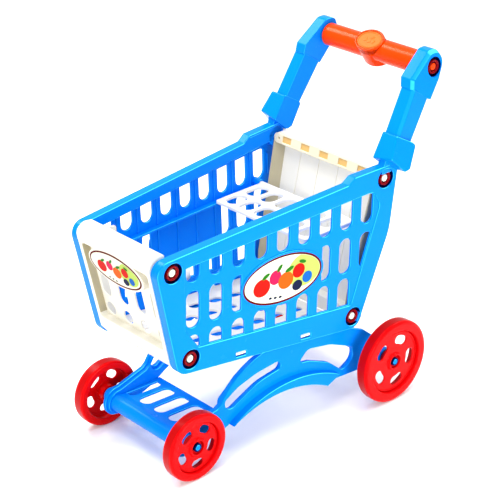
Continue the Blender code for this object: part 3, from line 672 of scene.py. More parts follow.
def side_panel(side, hand):
    """A blue side panel: a rimmed sheet with a sunken field of slots, a rail, a ledge and bosses."""
    place = on_panel(side)
    parts = side_sheets(place) + side_rail(place)
    ledge = soft(rectangle(-0.1550, 0.0745, 0.2192, 0.2216), 0.0008, 3)
    parts.append(plate([ledge], -0.0115, -0.0030, place, 0.0004))
    parts += nut_bosses(place) + field_ribs(place)
    parts += [seat_boss(place), tongue(side), label_rim(place)]
    piece(f"{hand}_side_panel_fine", parts, BLUE, [f"{hand}_side_panel"])


def side_sheets(place):
    """The outer sheet with its openings, the sunken field with its slots, and the rim round the panel."""
    outline = panel_outline()
    field = field_outline()
    recesses = [circle(y, z, RECESS_RADIUS) for y, z in NUT_PLACES.values()]
    return [
        plate([outline, field] + tab_holes() + recesses, -SHEET, 0, place, 0.0011),
        plate([inset(field, -0.002)] + slot_loops(), -SHEET - FIELD_STEP, -FIELD_STEP, place, 0.0007),
        plate([inset(outline, 0.00003), inset(outline, 0.0030)], -PANEL_DEPTH, -0.0008, place, 0.0009),
    ]


def tab_holes():
    """The holes that the floor's tabs show through."""
    holes = []
    for y in TAB_PLACES:
        front = y - TAB_LENGTH / 2 - 0.0004
        back = y + TAB_LENGTH / 2 + 0.0004
        z = bottom_z(y) + FLOOR_RISE
        hole = [(front, z - 0.0012), (back, z - 0.0028), (back, z + 0.0030), (front, z + 0.0046)]
        holes.append(soft(hole, 0.001, 3))
    return holes


def side_rail(place):
    """The rail behind the top edge, in an inner and an outer layer."""
    inner = soft([
        (-0.1900, 0.2615), (-0.1900, 0.2500), (0.0560, 0.2672),
        (0.1180, 0.2715), (0.1180, 0.2870), (0.0640, 0.2845), (0.0520, 0.2785),
    ], 0.001, 3)
    outer = soft([
        (-0.1660, 0.2628), (-0.1660, 0.2520), (0.0560, 0.2672),
        (0.0960, 0.2700), (0.0960, 0.2860), (0.0640, 0.2845), (0.0520, 0.2785),
    ], 0.001, 3)
    return [
        plate([inner], -PANEL_DEPTH + 0.0001, -RECESS_DEPTH - 0.0006, place),
        plate([outer], -RECESS_DEPTH - 0.0016, -0.0015, place),
    ]


def nut_bosses(place):
    """A solid boss and a wall round each ring nut's recess."""
    parts = []
    for y, z in NUT_PLACES.values():
        parts.append(plate([circle(y, z, BOSS_RADIUS)], -PANEL_DEPTH + 0.0001, -RECESS_DEPTH, place, 0.0005))
        wall = [circle(y, z, BOSS_RADIUS), circle(y, z, RECESS_RADIUS + 0.0001)]
        parts.append(plate(wall, -RECESS_DEPTH - 0.001, -0.001, place, 0.0003))
    return parts


def field_ribs(place):
    """Thin upright ribs between the slots on the field's inner face."""
    border = inset(field_outline(), -0.001)
    parts = []
    for column in list(SLOT_COLUMNS) + [5]:
        y = SLOT_MIDDLE_Y + (column - 0.5) * SLOT_PITCH
        rib = within(rectangle(y - 0.0009, y + 0.0009, 0.1200, 0.2680), border)
        if len(rib) > 2:
            parts.append(plate([cleaned(rib)], -SHEET - FIELD_STEP - 0.0012, -SHEET, place, 0.0004))
    return parts


def seat_boss(place):
    """The ring that a pin of the seat flap turns in."""
    y, z = SEAT_HINGE
    depth = side_x(y, z) - SEAT_BOSS_X
    return plate([circle(y, z, 0.0050), circle(y, z, 0.0029, 24)], -depth, -0.0020, place, 0.0005)


def label_rim(place):
    """The low bead round the side label."""
    half_u, half_v = LABEL_HALF
    loops = [
        ellipse(SLOT_MIDDLE_Y, LABEL_Z, half_u + 0.0024, half_v + 0.0024, LABEL_TILT),
        ellipse(SLOT_MIDDLE_Y, LABEL_Z, half_u + 0.0002, half_v + 0.0002, LABEL_TILT),
    ]
    return plate(loops, -0.0020, -0.0001, place, 0.0004)


def tongue(side):
    """The upright stub at the rear top corner that the handle arm's sleeve slides over."""
    rings = []
    for y, z, half_y in ((0.1130, 0.2800, 0.0100), (0.1190, 0.3020, 0.0092)):
        x = side_x(y, z) - PANEL_DEPTH / 2
        loop = rectangle(x - 0.0050, x + 0.0050, y - half_y, y + half_y)
        rings.append([(side * u, v, z) for u, v in loop])
    return loft(rings, 0.0006)


def pegs(names):
    """Pegs that stick out from a cross panel through both side panels at the named places."""
    found = []
    for name in names:
        y, z = NUT_PLACES[name]
        x = side_x(y, z)
        for side in (1, -1):
            found.append(rod(side, y, z, PEG_RADIUS, x - PANEL_DEPTH - 0.0020, x - 0.0018, 0.0008))
    return found


def front_panel():
    """The cream nose panel: a rolled top, a sunken field with slots and two side flanges."""
    def place(u, v, w):
        return (u, front_y(v) + w, v)

    def edge(z):
        return inner_x(front_y(z), z)

    top, low = 0.2500, 0.1375
    border = soft(trapezoid(edge(low), edge(top), low, top), 0.002)
    window = soft(trapezoid(0.0530, 0.0545, 0.1525, 0.2470), 0.004)
    slots = []
    for column in (-1.5, -0.5, 0.5, 1.5):
        for low_z, high_z in ((0.1545, 0.1705), (0.1790, 0.2168)):
            slot = capsule(column * FRONT_SLOT_PITCH, low_z, high_z, 0.0150)
            slots.append(cleaned(within(slot, inset(window, 0.0005))))
    half_u, half_v = FRONT_LABEL_HALF
    backing = ellipse(0, FRONT_LABEL_Z, half_u + 0.0025, half_v + 0.0020, 0)
    parts = [
        plate([border, window], -0.0005, 0.0125, place, 0.0008),
        plate([inset(anticlockwise(window), -0.002)] + slots, 0.0095, 0.0120, place),
        plate([backing], -0.0010, 0.0110, place),
        front_roll(edge(0.255)),
        front_foot(),
    ]
    parts += [front_flange(side) for side in (1, -1)]
    parts += pegs(("front_top", "front_low"))
    piece("front_panel_fine", parts, CREAM, ["front_panel"])
    # The field's side walls are painted in the darker cream as painted shade.
    walls = []
    for side in (1, -1):
        wall = [(side * (0.0528 + 0.0165 * (z - 0.1525)), z) for z in (0.1565, 0.2440)]
        sheet = wall + [(u + side * 0.0012, z) for u, z in reversed(wall)]
        walls.append(plate([sheet], 0.0004, 0.0098, place, 0.0002))
    piece("front_walls", walls, CREAM_PAINTED_SHADE, [])


def front_flange(side):
    """The wing that lies against a side panel's inner face."""
    wing = rounded([
        (front_y(0.252) + 0.003, 0.252, 0.001), (front_y(0.139) + 0.003, 0.139, 0.001),
        (-0.1450, 0.1390, 0.004), (-0.1640, 0.2200, 0.004), (-0.1480, 0.2300, 0.003),
        (-0.1480, 0.2480, 0.003), (-0.1800, 0.2520, 0.001),
    ], 3)
    return plate([wing], -PANEL_DEPTH - 0.0032, -PANEL_DEPTH - 0.0004, on_panel(side))


def front_roll(half):
    """The rounded top edge of the nose, one section swept from side to side."""
    section = rounded([
        (front_y(0.2485) - 0.0004, 0.2485, 0), (front_y(0.2485) + 0.0065, 0.2485, 0),
        (-0.1885, 0.2605, 0.003), (-0.1800, 0.2620, 0.0005), (-0.1800, 0.2655, 0.0015),
        (-0.1920, 0.2668, 0.010), (-0.2020, 0.2600, 0.009),
    ])
    return loft([[(x, y, z) for y, z in section] for x in (-half, half)], 0)


def front_foot():
    """The sloping foot under the field, which the floor rests behind."""
    section = [
        (front_y(0.1520) + 0.0005, 0.1520), (front_y(0.1385) - 0.0003, 0.1380),
        (-0.1690, 0.1285), (-0.1640, 0.1285), (-0.1640, 0.1378),
        (front_y(0.1385) + 0.006, 0.1400), (front_y(0.1520) + 0.0055, 0.1520),
    ]
    return loft([[(side * inner_x(y, z), y, z) for y, z in section] for side in (-1, 1)], 0.0004)


def on_rear(u, v, w):
    return (u, rear_y(v) + w, v)


def rear_edge(z):
    """x of the rear panel's edge at a height."""
    return inner_x(rear_y(z), z)


def rear_panel():
    """The cream rear panel: a slatted sheet between two deep flanges, under a beam with a row of cells."""
    low, foot = 0.1060, 0.1210
    outline = trapezoid(rear_edge(low), rear_edge(BEAM_HIGH), low, BEAM_HIGH)
    base = trapezoid(rear_edge(low) - 0.0002, rear_edge(foot) - 0.0002, low + 0.0002, foot)
    half = rear_edge(0.275) - 0.0004
    beam = soft(rectangle(-half, half, BEAM_LOW, BEAM_HIGH), 0.0055)
    dots = [circle(side * (half - 0.0075), (BEAM_LOW + BEAM_HIGH) / 2, 0.0014, 24) for side in (1, -1)]
    cells = []
    tiles = []
    for column in (-2, -1, 0, 1, 2):
        x = column * CELL_PITCH
        cells.append(soft(rectangle(x - 0.0068, x + 0.0068, 0.2712, 0.2786), 0.0008, 3))
        tiles.append(rectangle(x - 0.0072, x + 0.0072, 0.2708, 0.2790))
    parts = [
        plate([outline], REAR_SHEET + 0.0010, REAR_BACK - 0.0008, on_rear, 0.0002),
        plate([beam] + dots, REAR_FRONT + 0.0021, REAR_BACK - 0.0002, on_rear, 0.0008),
        plate([base], -0.0030, REAR_BACK - 0.0002, on_rear, 0.0008),
    ]
    parts += rear_slats() + pegs(("rear_low", "rear_top"))
    piece("rear_panel_fine", parts, CREAM, ["rear_panel"])
    # The rear flanges are painted in the darker cream as painted shade.
    piece("rear_flanges", [rear_flange(side) for side in (1, -1)], CREAM_PAINTED_SHADE, [])
    front = plate([beam] + cells + dots, REAR_FRONT, REAR_FRONT + 0.0040, on_rear)
    piece("rear_beam_front", [front], CREAM_WARM, [])
    tiles = [plate([tile], REAR_FRONT + 0.0012, REAR_FRONT + 0.0026, on_rear, 0.0002) for tile in tiles]
    piece("rear_cells", tiles, TAN, [])


def rear_slats():
    """Slats on the sheet's inner face, and ribs behind the gaps between them."""
    parts = []
    for column in range(-3, 3):
        left = max(-0.0750, (column + 0.5) * CELL_PITCH + 0.0004)
        right = min(0.0750, (column + 1.5) * CELL_PITCH - 0.0004)
        slat = rectangle(left, right, 0.1190, 0.2700)
        parts.append(plate([slat], REAR_SHEET, REAR_SHEET + 0.0016, on_rear, 0.0005))
        if column > -3:
            rib = rectangle(left - 0.0012, left + 0.0004, 0.1195, 0.2690)
            parts.append(plate([rib], REAR_BACK - 0.0012, REAR_BACK - 0.0001, on_rear, 0.0004))
    return parts


def rear_flange(side):
    """The deep flange along a side edge of the rear panel."""
    back = REAR_BACK - 0.0004
    rings = []
    for z, front in ((0.1120, -0.0005), (0.1400, REAR_FRONT), (0.2730, REAR_FRONT)):
        x = rear_edge(z) - 0.0003
        corners = [(x - 0.0018, front), (x, front), (x, back), (x - 0.0095, back)]
        rings.append([on_rear(side * u, z, w) for u, w in corners])
    return loft(rings, 0.0005)


def floor_panel():
    """The basket floor, with rows of long holes and tabs that show through the side panels."""
    def place(u, v, w):
        return (u, v, bottom_z(v) + FLOOR_RISE + w)

    def edge(y):
        return side_x(y, bottom_z(y)) - SHEET - 0.0008

    front, rear = -0.1625, 0.0640
    outline = [(-edge(front) + 0.0145, front), (edge(front) - 0.0145, front)]
    outline += [(edge(-0.1400) - 0.0145, -0.1400), (edge(-0.1380), -0.1380)]
    for y in TAB_PLACES:
        tab = side_x(y, bottom_z(y)) - 0.0006
        start, end = y - TAB_LENGTH / 2, y + TAB_LENGTH / 2
        outline += [(edge(start), start), (tab, start), (tab, end), (edge(end), end)]
    outline += [(edge(0.0490), 0.0490), (edge(0.0490) - 0.0145, 0.0510), (edge(rear) - 0.0145, rear)]
    mirror = [(-x, y) for x, y in outline[:1:-1]]
    holes = []
    for row in range(7):
        y = -0.1360 + row * FLOOR_ROW_PITCH
        for column in (-2, -1, 0, 1, 2):
            holes.append(capsule(column * FLOOR_HOLE_PITCH, y - 0.0100, y + 0.0100, 0.0120))
    sheet = plate([outline + mirror] + holes, 0, FLOOR_THICK, place)
    piece("floor_panel_fine", [sheet], CREAM, ["floor_panel"])


def seat_flap():
    """The folding grid seat, which lies on the side ledges and turns on two pins at its rear edge."""
    hinge_y, hinge_z = SEAT_HINGE

    def place(u, v, w):
        return (u, v, hinge_z + w)

    outline = rounded([
        (-SEAT_FRONT_HALF, SEAT_FRONT_Y, 0.003), (SEAT_FRONT_HALF, SEAT_FRONT_Y, 0.003),
        (SEAT_REAR_HALF, hinge_y, 0.0005), (-SEAT_REAR_HALF, hinge_y, 0.0005),
    ])
    holes = []
    for column in range(6):
        x = (column - 2.5) * SEAT_HOLE_PITCH
        holes.append(capsule(x, SEAT_FRONT_Y + 0.0055, 0.0385, 0.0190))
        holes.append(capsule(x, 0.0435, hinge_y - 0.0065, 0.0190))
    parts = [
        plate([outline] + holes, -SEAT_THICK / 2, SEAT_THICK / 2, place, 0.0008),
        rod(1, hinge_y, hinge_z, 0.0032, -SEAT_REAR_HALF, SEAT_REAR_HALF),
        rod(1, hinge_y, hinge_z, 0.0025, -0.0850, 0.0850),
    ]
    piece("seat_flap_fine", parts, WHITE, ["seat_flap"], "seat")


# ---- chassis

def frame_outline():
    """Edge of a chassis side frame: a nose round the front axle, the arch, and a leg round the rear axle."""
    nose = arc_points(-0.1605, 0.0355, 0.0170, 80, 262, 20)
    low = arc_points(-0.0330, 0.0544 - 0.1350, 0.1350, 122, 61, 32)
    leg = arc_points(REAR_WHEEL["y"], REAR_WHEEL["radius"], 0.0152, 258, 415, 20)
    upper = [(0.0920, 0.0875), (0.0740, 0.0955), (0.0640, bottom_z(0.0640) - 0.0004)]
    crown = [(-0.0400, bottom_z(-0.0400) - 0.0004), (-0.0560, 0.1085), (-0.0680, 0.1040), (-0.0790, 0.0980),
             (-0.0905, 0.0905), (-0.1015, 0.0798), (-0.1080, 0.0708), (-0.1130, 0.0640), (-0.1185, 0.0602)]
    return nose + low + leg + upper + crown


def long_window():
    return rounded([(-0.1060, 0.0500, 0.008), (-0.0840, 0.0620, 0.030), (-0.0600, 0.0745, 0.060),
                    (-0.0270, 0.0810, 0.0045), (-0.0330, 0.0905, 0.0045), (-0.0640, 0.0860, 0.060),
                    (-0.0900, 0.0775, 0.040), (-0.1075, 0.0660, 0.006)])


def rear_window():
    return rounded([(-0.0040, 0.0770, 0.003), (0.0110, 0.0750, 0.012), (0.0400, 0.0630, 0.030),
                    (0.0610, 0.0450, 0.006), (0.0780, 0.0550, 0.012), (0.0740, 0.0715, 0.010),
                    (0.0420, 0.0850, 0.040), (0.0090, 0.0905, 0.010)])


def grown(window):
    """A window made 3 mm larger all round."""
    return inset(anticlockwise(window), -0.003)


def chassis_frame(side, hand):
    """A blue side frame: an arched plate with two windows, a rim along the arch and a boss at each axle."""
    place = on_frame(side)
    rim = arc_points(-0.0330, 0.0544 - 0.1350, 0.1350, 120.5, 61, 48)
    rim += arc_points(-0.0180, 0.0643 - 0.1420, 0.1420, 61, 126, 48)
    front = FRONT_WHEEL["outer"] - FRONT_WHEEL["width"] - 0.0004
    rear = REAR_WHEEL["outer"] - REAR_WHEEL["width"] - 0.0004
    thick = [inset(frame_outline(), 0.0025), grown(long_window()), grown(rear_window())]
    parts = [
        plate([frame_outline(), long_window(), rear_window()], -FRAME_SHEET, 0, place, 0.0010),
        plate(thick, -FRAME_THICK, -FRAME_SHEET + 0.0010, place, 0.0008),
        plate([rim], -0.0050, RIM_OUT, place, 0.0010),
        rod(side, FRONT_WHEEL["y"], FRONT_WHEEL["radius"], 0.0085, 0.0580, front),
        rod(side, REAR_WHEEL["y"], REAR_WHEEL["radius"], 0.0110, 0.0790, rear),
    ]
    piece(f"{hand}_chassis_frame_fine", parts, BLUE, [f"{hand}_chassis_frame"])


def frame_inner(y):
    """x of the inner face of the left chassis frame, less a gap."""
    return FRAME_X + FRAME_SPLAY * y - FRAME_THICK - 0.0004


def front_shelf():
    """The slotted shelf between the front wheels, rolled over the front axle."""
    nose = arc_points(-0.1635, 0.0367, 0.0095, 75, 260, 20)
    section = nose + [(-0.1560, 0.0290), (-0.1540, 0.0396), (-0.1540, 0.0441)]
    roll = loft([[(side * frame_inner(y), y, z) for y, z in section] for side in (-1, 1)], 0)

    def deck(u, v, w):
        return (u, v, 0.0438 - (v + 0.1490) * 0.0028 / 0.0515 + w)

    front, rear = -0.1560, -0.0975
    outline = trapezoid(frame_inner(front), frame_inner(rear), front, rear)
    half = frame_inner(front) - 0.0020
    border = rectangle(-half, half, front, -0.1000)
    slots = []
    for column in (-2, -1, 0, 1, 2):
        slot = capsule(column * SHELF_PITCH, -0.1510, -0.1055, 0.0162)
        slots.append(cleaned(within(slot, border)))
    top = plate([outline] + slots, -0.0026, 0, deck)
    half = frame_inner(rear) - 0.0001
    lip = plate([rectangle(-half, half, rear - 0.0028, rear - 0.0001)], -0.0080, -0.0010, deck)
    piece("front_shelf_fine", [roll, top, lip], BLUE, ["front_shelf"])


# ---- wheels

def wheel(side, spec, name, cap_name):
    """A red wheel: rim, tread in a darker red that is painted shade, hub, web with five slots and a raised
    ring, and its axle cap.
    """
    place = across(side, spec["y"], spec["radius"])

    def inward(u, v, w):
        return place(u, v, spec["outer"] - w)

    r, w = spec["radius"], spec["width"]
    inner, outer = spec["hole"]
    step = 360 / WHEEL_HOLES
    holes = [arc_slot(inner, outer, spec["turn"] + step * k, HOLE_SPAN) for k in range(WHEEL_HOLES)]
    tread = rounded([
        (r - 0.0020, 0.0034, 0), (r, 0.0034, 0.0005), (r, w - 0.0030, 0.0005), (r - 0.0020, w - 0.0030, 0),
    ], 3)
    ridge = rounded([
        (r * 0.690, 0.0050, 0), (r * 0.695, 0.0028, 0.0004),
        (r * 0.715, 0.0028, 0.0004), (r * 0.720, 0.0050, 0),
    ], 3)
    parts = [
        turned(rim_profile(r, w), inward),
        turned(hub_profile(w), inward, 64),
        plate([circle(0, 0, r * 0.745, 96), circle(0, 0, 0.0100)] + holes, 0.0036, 0.0060, inward, 0.0008),
        turned(ridge, inward),
    ]
    piece(f"{name}_fine", parts, RED, [name], name)
    # The tread's darker red is painted shade.
    piece(f"{name}_tread", [turned(tread, inward)], RED_PAINTED_SHADE, [], name)
    axle_cap(cap_name, inward)


def rim_profile(r, w):
    """Section of a wheel's rim, of radius r and width w."""
    return rounded([
        (r * 0.750, 0.0050, 0.0006), (r * 0.765, 0.0, 0.0012), (r * 0.930, 0.0, 0.0035),
        (r - 0.0002, 0.0012, 0.0022), (r - 0.0002, w - 0.0012, 0.0022),
        (r * 0.930, w, 0.0035), (r * 0.770, w, 0.0016), (r * 0.750, 0.0070, 0.0008),
        (r * 0.710, 0.0058, 0.0004), (r * 0.710, 0.0050, 0.0002),
    ], 6)


def hub_profile(w):
    """Section of a wheel's hub, with a raised collar round the axle cap."""
    return rounded([
        (HUB_BORE, 0.0052, 0), (0.0076, 0.0052, 0.0004), (0.0082, 0.0012, 0.0006), (0.0100, 0.0012, 0.0008),
        (0.0112, 0.0034, 0.0008), (0.0130, 0.0044, 0), (0.0130, 0.0056, 0), (0.0108, 0.0064, 0.0006),
        (0.0100, w, 0.0006), (HUB_BORE, w, 0),
    ], 5)


def axle_cap(name, inward):
    """The dark ring and the blue middle of the cap on an axle's end."""
    ring = rounded([
        (0.0, 0.0048, 0), (0.0050, 0.0048, 0), (0.0050, 0.0012, 0.0006),
        (0.0034, 0.0012, 0.0004), (0.0030, 0.0024, 0), (0.0, 0.0024, 0),
    ], 4)
    piece(f"{name}_fine", [turned(ring, inward, 48)], NAVY, [name])
    middle = rounded([(0.0, 0.0030, 0), (0.0033, 0.0030, 0), (0.0032, 0.0010, 0.0010), (0.0, 0.0007, 0)], 6)
    piece(f"{name}_middle", [turned(middle, inward, 48)], BLUE, [])


# ---- handle

def arm_ring(x, y, z, width, depth, lean, corner=0.001):
    """A rectangle across an arm that leans from upright towards +Y, with its front outer corner cut off."""
    a, b, c = width / 2, depth / 2, corner
    corners = [
        (-a, -b + c), (-a + c, -b), (a - ARM_CHAMFER, -b), (a, -b + ARM_CHAMFER),
        (a, b - c), (a - c, b), (-a + c, b), (-a, b - c),
    ]
    return [(x + u, y + v * math.cos(lean), z - v * math.sin(lean)) for u, v in corners]


def head_ring(side, outer, x):
    """Section of an arm's head at x. The outer section has its front corners cut back."""
    back = ARM_CHAMFER if outer else 0
    loop = rounded([
        (0.1470 + back, 0.3668, 0.002), (0.1484 + back, 0.3780 - back * 0.4, 0.003),
        (0.1790 + back * 0.5, 0.4030 - back, 0.008), (0.1930 - back * 0.2, 0.4035 - back, 0.0105),
        (0.2000, 0.3890, 0.012), (0.1915, 0.3700, 0.014), (0.1758, 0.3492, 0.002),
    ])
    return [(side * (x - ARM_LEAN_IN * (z - HANDLE_Z)), y, z) for y, z in loop]


def sleeve_ring(side, outer):
    """Inner or outer section of an arm's sleeve, which flares out towards its foot."""
    if outer:
        loop = rounded([(0.1184, 0.3232, 0.002), (0.1053, 0.3005, 0.002), (0.1232, 0.2822, 0.003),
                        (0.1315, 0.2834, 0.003), (0.1458, 0.3062, 0.003), (0.1415, 0.3105, 0.002)])
        return [(side * (SLEEVE_OUTER + SLEEVE_FLARE * (0.3232 - z)), y, z) for y, z in loop]
    loop = rounded([(0.1190, 0.3232, 0.002), (0.1030, 0.2962, 0.002), (0.1236, 0.2795, 0.003),
                    (0.1312, 0.2818, 0.003), (0.1452, 0.3066, 0.003), (0.1415, 0.3105, 0.002)])
    return [(side * SLEEVE_INNER, y, z) for y, z in loop]


def shaft_rings(side):
    """The two end sections of an arm's shaft."""
    ends = [(0.0876, 0.1312, 0.3124, 0.0194, 0.0252), (0.0846, 0.1607, 0.3599, 0.0184, 0.0286)]
    return [[(side * x, y, z) for x, y, z in arm_ring(*end, ARM_LEAN)] for end in ends]


def handle_arm(side, hand):
    """Sleeve, shaft and head of a handle arm. The sleeve wraps over the side panel's rear top corner."""
    head = loft([
        head_ring(side, False, ARM_OUTER - ARM_HEAD),
        head_ring(side, False, ARM_OUTER - ARM_CHAMFER),
        head_ring(side, True, ARM_OUTER),
    ], 0.0007)
    recess = rod(side, HANDLE_Y, HANDLE_Z, RECESS_RADIUS, ARM_OUTER - RECESS_DEPTH, ARM_OUTER + 0.01, 0.0002)
    parts = [
        loft([sleeve_ring(side, False), sleeve_ring(side, True)], 0.0009),
        loft(shaft_rings(side), 0.0006),
        cut(head, recess),
    ]
    piece(f"{hand}_handle_arm_fine", parts, BLUE, [f"{hand}_handle_arm"])
    painted_recess_shade(f"{hand}_handle_recess", ARM_OUTER, across(side, HANDLE_Y, HANDLE_Z))


def on_drum(u, v, w):
    """Places a point on the drum's axis, which tilts forward from upright."""
    return (u, HANDLE_Y + v * math.cos(DRUM_TILT) - w * math.sin(DRUM_TILT),
            HANDLE_Z + v * math.sin(DRUM_TILT) + w * math.cos(DRUM_TILT))


def handle_bar():
    """The orange grip bar with its oval middle drum and the pegs that pass through the arms."""
    drum = ellipse(0, 0, DRUM_HALF_X, DRUM_HALF_Y, 0, 96)
    well = ellipse(0, 0, DRUM_HALF_X - 0.0026, DRUM_HALF_Y - 0.0026, 0, 96)
    parts = [
        rod(1, HANDLE_Y, HANDLE_Z, BAR_RADIUS, -BAR_HALF, BAR_HALF, 0.0006, 96),
        rod(1, HANDLE_Y, HANDLE_Z, PEG_RADIUS, -ARM_OUTER + 0.0018, ARM_OUTER - 0.0018, 0.0008),
        plate([drum], -DRUM_HALF, DRUM_HALF - 0.0012, on_drum, 0.0009),
        plate([drum, well], 0.0050, DRUM_HALF, on_drum, 0.0009),
    ]
    piece("handle_bar_fine", parts, ORANGE, ["handle_bar"])


def handle_badge():
    """The drum's top badge: an oval disc with a raised ring and a generic row of fruit."""
    low = DRUM_HALF - 0.0009
    high = DRUM_HALF - 0.0001

    def oval(less):
        return ellipse(0, 0, DRUM_HALF_X - less, DRUM_HALF_Y - less, 0)

    parts = [
        plate([oval(0.0030)], low, low + 0.0003, on_drum, 0.0001),
        plate([oval(0.0040), oval(0.0049)], low, high, on_drum, 0.0002),
    ]
    for u, v, radius in ((-0.0058, -0.0008, 0.0026), (0.0, -0.0012, 0.0032), (0.0058, -0.0008, 0.0026)):
        parts.append(plate([circle(u, v, radius)], low, high, on_drum, 0.0003))
    leaf = ellipse(0.0016, 0.0040, 0.0028, 0.0011, 0.4, 32)
    parts.append(plate([leaf], low, high, on_drum, 0.0003))
    piece("handle_badge_fine", parts, ORANGE_RAISED, ["handle_badge"])


# ---- small parts

def painted_recess_shade(name, face, place):
    """Painted shade: a thin navy lining on the wall and floor of the round recess that a ring nut sits in."""
    low = face - RECESS_DEPTH
    wall = [circle(0, 0, RECESS_RADIUS + 0.0002), circle(0, 0, RECESS_RADIUS - 0.0004)]
    lining = [
        plate(wall, low, face - 0.0009, place, 0.0001),
        plate([circle(0, 0, RECESS_RADIUS)], low - 0.0002, low + 0.0003, place, 0.0001),
    ]
    piece(name, lining, NAVY, [])


def nut_loop():
    """The hole of a ring nut: lobes round the peg."""
    loop = []
    for k in range(96):
        angle = 2 * math.pi * k / 96
        radius = 0.0056 + 0.0003 * math.tanh(4 * math.cos(6 * angle))
        loop.append((radius * math.cos(angle), radius * math.sin(angle)))
    return loop


def ring_nut(side, y, z, face, name):
    """A red ring nut in its recess, with a raised outer rim."""
    low = face - RECESS_DEPTH + 0.0012
    place = across(side, y, z)
    rim = [circle(0, 0, NUT_RADIUS - 0.0003, 64), circle(0, 0, NUT_RADIUS - 0.0013, 64)]
    parts = [
        plate([circle(0, 0, NUT_RADIUS, 64), nut_loop()], low, low + 0.0036, place, 0.0007),
        plate(rim, low + 0.0008, low + 0.0044, place, 0.0005),
    ]
    piece(f"{name}_fine", parts, RED_NUT, [name])


# Motif of a side label: middle (u, v), half sizes and turn of each oval. The layers lie a step apart.
PRINT_STEP = 0.00012
FRUITS = (
    ("apple", PRINT_RED, -0.0290, -0.0040, 0.0115, 0.0105),
    ("plum", PRINT_PINK, -0.0110, 0.0040, 0.0080, 0.0085),
    ("orange", PRINT_ORANGE, 0.0040, -0.0030, 0.0105, 0.0100),
    ("cherry", PRINT_RED, 0.0215, 0.0045, 0.0085, 0.0085),
    ("berry", PRINT_NAVY, 0.0210, -0.0130, 0.0070, 0.0062),
    ("grape", PRINT_BLUE, 0.0345, -0.0060, 0.0068, 0.0068),
)
LEAVES = (
    (-0.0245, 0.0085, 0.0055, 0.0022, 0.5),
    (0.0080, 0.0095, 0.0060, 0.0024, 0.4),
    (0.0260, 0.0145, 0.0050, 0.0020, -0.3),
    (-0.0060, 0.0140, 0.0050, 0.0020, 0.9),
)
SEEDS = (("seeds", -0.0160, -0.0195), ("seeds_2", -0.0090, -0.0205), ("seeds_3", -0.0020, -0.0212))


def label(name, centre, half, tilt, base, place, node):
    """A printed oval: dark red edge, pale ground with a lime patch, and a generic row of fruit and leaves."""
    full_u, full_v = LABEL_HALF
    size = half[1] / full_v
    edge = 0.0016 + 0.0008 * size

    def border(less):
        return ellipse(*centre, half[0] - less, half[1] - less, tilt)

    def oval(u, v, half_a, half_b, turn=0.0):
        middle = swung(*centre, u * half[0] / full_u, v * size, tilt)
        return ellipse(*middle, half_a * size, half_b * size, turn + tilt, 40)

    def layer(part, loop, level, material, replaced=()):
        low = base + level * PRINT_STEP
        piece(f"{name}_{part}", [plate([loop], low, low + 0.0002, place, 0.00005)], material, replaced)

    layer("edge", border(0), 0, PRINT_RIM, [node])
    layer("ground", border(edge), 1, PRINT_GROUND)
    layer("lime", within(oval(0.0300, 0.0040, 0.0240, 0.0200), border(edge + 0.0004)), 2, PRINT_LIME)
    for order, (fruit, material, *shape) in enumerate(FRUITS):
        layer(fruit, oval(*shape), 3 + 0.4 * order, material)
    for order, shape in enumerate(LEAVES):
        layer(f"leaf_{order}", oval(*shape), 6 + 0.4 * order, PRINT_GREEN)
    for part, u, v in SEEDS:
        layer(part, oval(u, v, 0.0022, 0.0014), 3, PRINT_NAVY)


# ---- stage

def stage():
    """A wide white floor, soft lights and an even white surround."""
    material, shader = new_material("floor_white")
    set_inputs(shader, {"Base Color": (0.93, 0.93, 0.93, 1), "Roughness": 0.8})
    mesh = bpy.data.meshes.new("floor")
    corners = rectangle(-FLOOR_HALF, FLOOR_HALF, -FLOOR_HALF, FLOOR_HALF)
    mesh.from_pydata([(x, y, 0) for x, y in corners], [], [(0, 1, 2, 3)])
    mesh.materials.append(material)
    floor = as_object("floor", mesh)

    world = bpy.data.worlds.new("white")
    world.use_nodes = True
    set_inputs(world.node_tree.nodes["Background"], {"Color": (1, 1, 1, 1), "Strength": 0.82})
    bpy.context.scene.world = world

    light("key", (-1.0, -0.15, 1.35), (0, 0, 0.2), 0.6, 15)
    light("back", (0.1, 1.3, 1.5), (0, 0, 0.2), 0.8, 9)
    light("front", (0.3, -1.6, 0.7), (0, 0, 0.2), 0.8, 10)
    light("side", (0.75, -0.05, 0.16), (0.08, -0.02, 0.2), 0.45, 4.5)
    light("top", (0.1, -0.2, 1.5), (0, 0, 0.2), 1.2, 16)


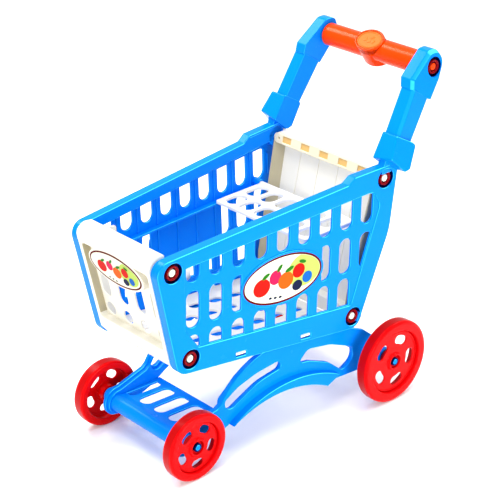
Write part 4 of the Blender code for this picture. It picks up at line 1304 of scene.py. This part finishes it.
def light(name, at, to, size, power):
    lamp = bpy.data.lights.new(name, "AREA")
    lamp.shape = "DISK"
    lamp.size = size
    lamp.energy = power
    thing = as_object(name, lamp)
    thing.location = at
    thing.rotation_euler = (Vector(to) - Vector(at)).to_track_quat("-Z", "Y").to_euler()


def camera():
    data = bpy.data.cameras.new("camera")
    data.lens = CAMERA_LENS
    data.sensor_width = 36
    thing = as_object("camera", data)
    thing.location = CAMERA_AT
    aim = (Vector(CAMERA_TO) - Vector(CAMERA_AT)).to_track_quat("-Z", "Y")
    thing.rotation_euler = aim.to_euler()
    thing.rotation_euler.rotate_axis("Z", CAMERA_ROLL)
    bpy.context.scene.camera = thing


def build():
    for side, hand in ((1, "left"), (-1, "right")):
        side_panel(side, hand)
        centre = (SLOT_MIDDLE_Y, LABEL_Z)
        low = -FIELD_STEP + 0.0002
        label(f"{hand}_print", centre, LABEL_HALF, LABEL_TILT, low, on_panel(side), f"{hand}_label")
        chassis_frame(side, hand)
        handle_arm(side, hand)
        for spec, end in ((FRONT_WHEEL, "front"), (REAR_WHEEL, "rear")):
            wheel(side, spec, f"{end}_{hand}_wheel", f"{end}_{hand}_axle_cap")
        for name, (y, z) in NUT_PLACES.items():
            ring_nut(side, y, z, side_x(y, z), f"{hand}_{name}_nut")
            painted_recess_shade(f"{hand}_{name}_recess", 0, lambda u, v, w: on_panel(side)(y + u, z + v, w))
        ring_nut(side, HANDLE_Y, HANDLE_Z, ARM_OUTER, f"{hand}_handle_nut")
    front_panel()
    rear_panel()
    floor_panel()
    seat_flap()
    front_shelf()
    handle_bar()
    handle_badge()
    label("front_print", (0, FRONT_LABEL_Z), FRONT_LABEL_HALF, 0, 0.0012, on_nose, "front_label")
    for node in ("front_crossbar", "rear_crossbar", "rear_axle_tube"):
        repaint(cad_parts[node], BLUE)
    for node in ("front_axle", "rear_axle"):
        repaint(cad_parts[node], STEEL)


def repaint(thing, material):
    thing.data.materials.clear()
    thing.data.materials.append(material)


build()
stage()
camera()
bpy.context.scene.view_settings.view_transform = "Standard"
